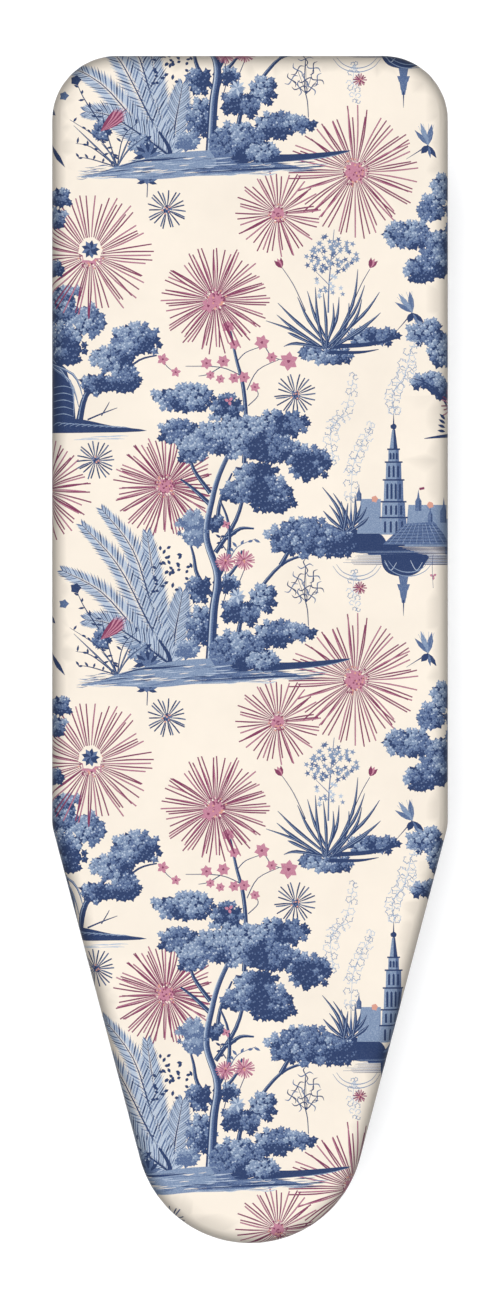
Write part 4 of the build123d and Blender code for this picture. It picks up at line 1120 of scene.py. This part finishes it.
def felt(name, colour):
    """Needled felt: matt, with loose fibres and small pits."""
    n = Nodes(name)
    fibres = n.noise(1400, 6, 0.75)
    tone = n.mix(n.spread(fibres, 0.35, 0.7, 0.0, 1.0), tint(colour, 0.8), srgb(*colour))
    tone = n.mix(n.math("MULTIPLY", n.clouds(25, 3, 0.4, 0.7, 0, 1), 0.2), tone, srgb(150, 150, 152))
    n.bump(fibres, 0.6, 0.0006)
    n.shader.inputs["Sheen Weight"].default_value = 0.3
    return n.finish(tone, 0.95)


def powder_coat(name, colour):
    """Baked powder paint over steel: faint orange peel, small scuffs and a little dust."""
    n = Nodes(name)
    peel = n.noise(420, 2, 0.5)
    scuffs = n.clouds(38, 6, 0.62, 0.74, 0.0, 0.35, 0.7)
    tone = n.mix(n.clouds(6, 3, 0.3, 0.7, 0.0, 0.35), srgb(*colour), tint(colour, 0.94))
    tone = n.mix(scuffs, tone, tint(colour, 0.78))
    n.bump(peel, 0.18, 0.0004)
    n.shader.inputs["Coat Weight"].default_value = 0.25
    n.shader.inputs["Coat Roughness"].default_value = 0.2
    return n.finish(tone, n.clouds(90, 4, 0.3, 0.7, 0.32, 0.48))


def zinc(name, colour):
    """Bright zinc plate: spangle, fine drawing marks and dull patches."""
    n = Nodes(name)
    spangle = n.cells(160)
    tone = n.mix(n.spread(spangle, 0.0, 0.6, 0.0, 0.5), srgb(*colour), tint(colour, 0.8))
    tone = n.mix(n.clouds(30, 5, 0.55, 0.75, 0.0, 0.4), tone, srgb(150, 146, 138))
    n.bump(n.noise(1500, 2), 0.1, 0.0002)
    return n.finish(tone, n.clouds(120, 4, 0.3, 0.7, 0.24, 0.42), 1.0)


def moulded(name, colour, sheen=0.45):
    """Moulded plastic or rubber: a fine spark-eroded grain and slightly worn high spots."""
    n = Nodes(name)
    grain = n.noise(1600, 2, 0.6)
    tone = n.mix(n.clouds(18, 4, 0.35, 0.7, 0.0, 0.4), srgb(*colour), tint(colour, 1.25))
    tone = n.mix(n.spread(grain, 0.4, 0.7, 0.0, 0.25), tone, tint(colour, 0.7))
    n.bump(grain, 0.3, 0.0003)
    return n.finish(tone, n.clouds(70, 3, 0.3, 0.7, sheen, sheen + 0.15))


def braid(name, colour):
    """Braided elastic: slanted ribs over a pale core."""
    n = Nodes(name)
    ribs = n.math("MULTIPLY", n.threads(700, "DIAGONAL"), n.threads(500, "X"))
    tone = n.mix(ribs, tint(colour, 0.8), srgb(*colour))
    n.bump(ribs, 0.5, 0.0005)
    return n.finish(tone, 0.8)


FINISHES = {
    "pad_felt": felt("pad_felt", (224, 220, 210)),
    "frame_steel": powder_coat("frame_steel", (206, 209, 212)),
    "leg_steel": powder_coat("leg_steel", (226, 226, 222)),
    "zinc_steel": zinc("zinc_steel", (196, 198, 200)),
    "grey_plastic": moulded("grey_plastic", (84, 90, 98)),
    "foot_rubber": moulded("foot_rubber", (44, 46, 50), 0.6),
    "hem_elastic": braid("hem_elastic", (232, 230, 224)),
}
for subpart in frame["record"]["subparts"]:
    finish = FINISHES.get(subpart["material_slot"])
    if finish:
        mesh = frame["nodes"][subpart["node"]].data
        mesh.materials.clear()
        mesh.materials.append(finish)

# ------------------------------------------------------------------ the cover
wrap = Wrap()
flat_points, triangles, triangle_inks = printed_sheet()
wrapped = [wrap.place(x, y) for x, y in flat_points]
cover = mesh_object("cover_cloth", [place[:3] for place in wrapped], triangles)
for ink in range(len(INKS)):
    ink_name, ink_colour = INKS[ink]
    depth = {NAVY: 0.14, BLUE: 0.5, SKY: 0.6, MIST: 0.5, MAGENTA: 0.2, PINK: 0.4}.get(ink, 0)
    cover.data.materials.append(cotton(ink_name, ink_colour, depth, painted_edge_shade=True))
cover.data.polygons.foreach_set("material_index", triangle_inks[: len(cover.data.polygons)])
# Painted shade: the cloth's colour is darkened where it bends over the rim, standing in for the light falling
# away over the rolled edge.
painted_edge_shade = cover.data.attributes.new("painted_edge_shade", "FLOAT", "POINT")
painted_edge_shade.data.foreach_set("value", [place[3] for place in wrapped])
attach(cover, "board")
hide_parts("cover")


# ------------------------------------------------------------------ the felt pad
PAD_LOW, PAD_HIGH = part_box("foam_pad")
PAD_ROLL = 7.0
PAD_SHELF_INSET = HALF_WIDTH - PAD_HIGH.x / MM + PAD_ROLL
PAD_FACE_Z = PAD_HIGH.z / MM - 0.4
PAD_BASE_Z = PAD_LOW.z / MM + 0.1
PAD_STEP = 4.0
PAD_GRID = 12.0


def felt_slab():
    """A closed slab of felt with a rounded top edge, a soft lower edge and a slightly uneven face."""
    shelf, _, normal, _ = loop_frames(outline(PAD_SHELF_INSET, PAD_STEP))
    count = len(shelf)
    profile = [(0, PAD_BASE_Z), (PAD_ROLL - 1.4, PAD_BASE_Z), (PAD_ROLL - 0.3, PAD_BASE_Z + 0.35)]
    for i in range(7):
        a = math.pi / 2 * i / 6
        profile.append((PAD_ROLL * 0.99 * math.cos(a), PAD_FACE_Z - PAD_ROLL + PAD_ROLL * math.sin(a)))
    verts, faces = [], []
    for out, z in profile:
        for (x, y), (nx, ny) in zip(shelf, normal):
            verts.append((x + nx * out, y + ny * out, z))
    for ring in range(len(profile) - 1):
        for i in range(count):
            low, high = ring * count, (ring + 1) * count
            faces.append((low + i, low + (i + 1) % count, high + (i + 1) % count, high + i))
    across = np.arange(-HALF_WIDTH, HALF_WIDTH, PAD_GRID)
    grid = np.array([(x, y) for x in across for y in np.arange(-HALF_LENGTH, HALF_LENGTH, PAD_GRID)])
    points = [Vector(p) for p in (*shelf, *grid[inside_loop(shelf, grid)])]
    flat, tris = triangulate(points, [], [list(range(count))])
    tris = tris[inside_loop(shelf, flat[tris].mean(axis=1))]
    rim = {(round(x, 2), round(y, 2)) for x, y in shelf}
    for z, lump in ((PAD_BASE_Z, 0.0), (PAD_FACE_Z, 0.16)):
        start = len(verts)
        for x, y in flat:
            lift = 0 if (round(x, 2), round(y, 2)) in rim else lump * noise.noise((x * 0.03, y * 0.03, 9.0))
            verts.append((x, y, z + lift))
        faces.extend(tuple(start + int(v) for v in tri) for tri in tris)
    return verts, faces


pad = mesh_object("felt_pad", *felt_slab())
pad_mesh = bmesh.new()
pad_mesh.from_mesh(pad.data)
bmesh.ops.remove_doubles(pad_mesh, verts=pad_mesh.verts, dist=1e-6)
bmesh.ops.recalc_face_normals(pad_mesh, faces=pad_mesh.faces)
pad_mesh.to_mesh(pad.data)
pad_mesh.free()
pad.data.materials.append(FINISHES["pad_felt"])
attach(pad, "board")
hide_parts("foam_pad")

# ------------------------------------------------------------------ the gathered binding round the opening
BINDING_LOW, BINDING_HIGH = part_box("hem_binding")
BINDING_R = (BINDING_HIGH.z - BINDING_LOW.z) / MM / 2
BINDING_Z = (BINDING_HIGH.z + BINDING_LOW.z) / MM / 2
BINDING_INSET = HALF_WIDTH - BINDING_HIGH.x / MM + BINDING_R
BINDING_SIDES = 14
GATHER = 0.26  # how deep a gather is
SEAM_START = 0.55  # the strip starts at this angle, in radians, from straight out
SEAM_TURN = 5.9  # and goes this far round, so the tube stays open along its outer side


def gathered(along, angle):
    """The binding's radius: narrow gathers drawn up by the elastic, with slower swells between."""
    fold = math.sin(along * 1.3 + 1.5 * math.sin(along * 0.11) + 0.5 * math.sin(angle))
    swell = math.sin(along * 0.19 + 1.2 * math.sin(along * 0.05))
    return BINDING_R - GATHER - 0.12 + GATHER * fold + 0.1 * swell


def swept_ring(name, inset, height, step, sides, radius):
    """A strip wrapped into a tube along the outline moved in by inset, open along its outer side."""
    points, _, normal, along = loop_frames(outline(inset, step))
    verts, faces = [], []
    for (x, y), (nx, ny), distance in zip(points, normal, along):
        for k in range(sides):
            a = SEAM_START + SEAM_TURN * k / (sides - 1)
            r = radius(distance, a)
            verts.append((x + nx * r * math.cos(a), y + ny * r * math.cos(a), height + r * math.sin(a)))
    for i in range(len(points)):
        here, there = i * sides, (i + 1) % len(points) * sides
        for k in range(sides - 1):
            faces.append((here + k, here + k + 1, there + k + 1, there + k))
    return mesh_object(name, verts, faces)


binding = swept_ring("hem_casing", BINDING_INSET, BINDING_Z, 1.2, BINDING_SIDES, gathered)
binding.data.materials.append(cotton("binding_cotton", (240, 229, 212), 0.15))
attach(binding, "board")
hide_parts("hem_binding")

# A row of lockstitches holds the binding to the hem.
STITCH = 3.2  # pitch of the stitches
STITCH_INSET = BINDING_INSET - BINDING_R - 1.6
STITCH_Z = TOP_Z - COVER_DEPTH - 0.12


def stitch_row():
    """Small rounded stitches, end to end, on the underside of the hem."""
    points, tangent, normal, _ = loop_frames(outline(STITCH_INSET, STITCH))
    verts, faces = [], []
    for (x, y), (tx, ty), (nx, ny) in zip(points, tangent, normal):
        start = len(verts)
        for t, half, drop in ((-1.2, 0.12, 0.0), (-0.7, 0.3, 0.28), (0.7, 0.3, 0.28), (1.2, 0.12, 0.0)):
            for side, sink in ((-1, 0.0), (-0.6, drop), (0.6, drop), (1, 0.0)):
                place = (x + tx * t + nx * side * half, y + ty * t + ny * side * half)
                verts.append((*place, STITCH_Z - sink))
        for i in range(3):
            for k in range(3):
                a = start + 4 * i + k
                faces.append((a, a + 4, a + 5, a + 1))
    return verts, faces


stitches = mesh_object("hem_stitches", *stitch_row())
stitches.data.materials.append(cotton("stitch_thread", (214, 202, 186)))
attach(stitches, "board")

# ------------------------------------------------------------------ the floor
FLOOR_HALF = 30.0
bpy.ops.mesh.primitive_plane_add(size=2 * FLOOR_HALF, location=(0, 0, 0))
floor = bpy.context.object
floor.name = "floor"


def studio_surface(item, scale, detail, pale, dark, glow):
    """Makes the floor or the backdrop almost white and faintly lit of itself."""
    n = Nodes(item.name)
    tone = n.mix(n.clouds(scale, detail, 0.3, 0.7, 0, 1), srgb(*pale), srgb(*dark))
    n.shader.inputs["Emission Color"].default_value = (1, 1, 1, 1)
    n.shader.inputs["Emission Strength"].default_value = glow
    item.data.materials.append(n.finish(tone, 0.9))


studio_surface(floor, 2, 3, (244, 244, 244), (239, 239, 240), 0.22)

# A low pale wall all round, far away, so that a view from the side has a plain background.
WALL_SIDES = 64
WALL_HIGH = 4.2
WALL_LOW = -0.05
WALL_RADIUS = FLOOR_HALF / MM * 0.95
wall_angles = [2 * math.pi * i / WALL_SIDES for i in range(WALL_SIDES)]
wall_verts = [(WALL_RADIUS * math.cos(a), WALL_RADIUS * math.sin(a), z / MM)
              for z in (WALL_LOW, WALL_HIGH) for a in wall_angles]
wall_faces = [(i, (i + 1) % WALL_SIDES, WALL_SIDES + (i + 1) % WALL_SIDES, WALL_SIDES + i)
              for i in range(WALL_SIDES)]
wall = mesh_object("backdrop", wall_verts, wall_faces)
studio_surface(wall, 0.2, 2, (240, 240, 240), (236, 236, 238), 0.75)
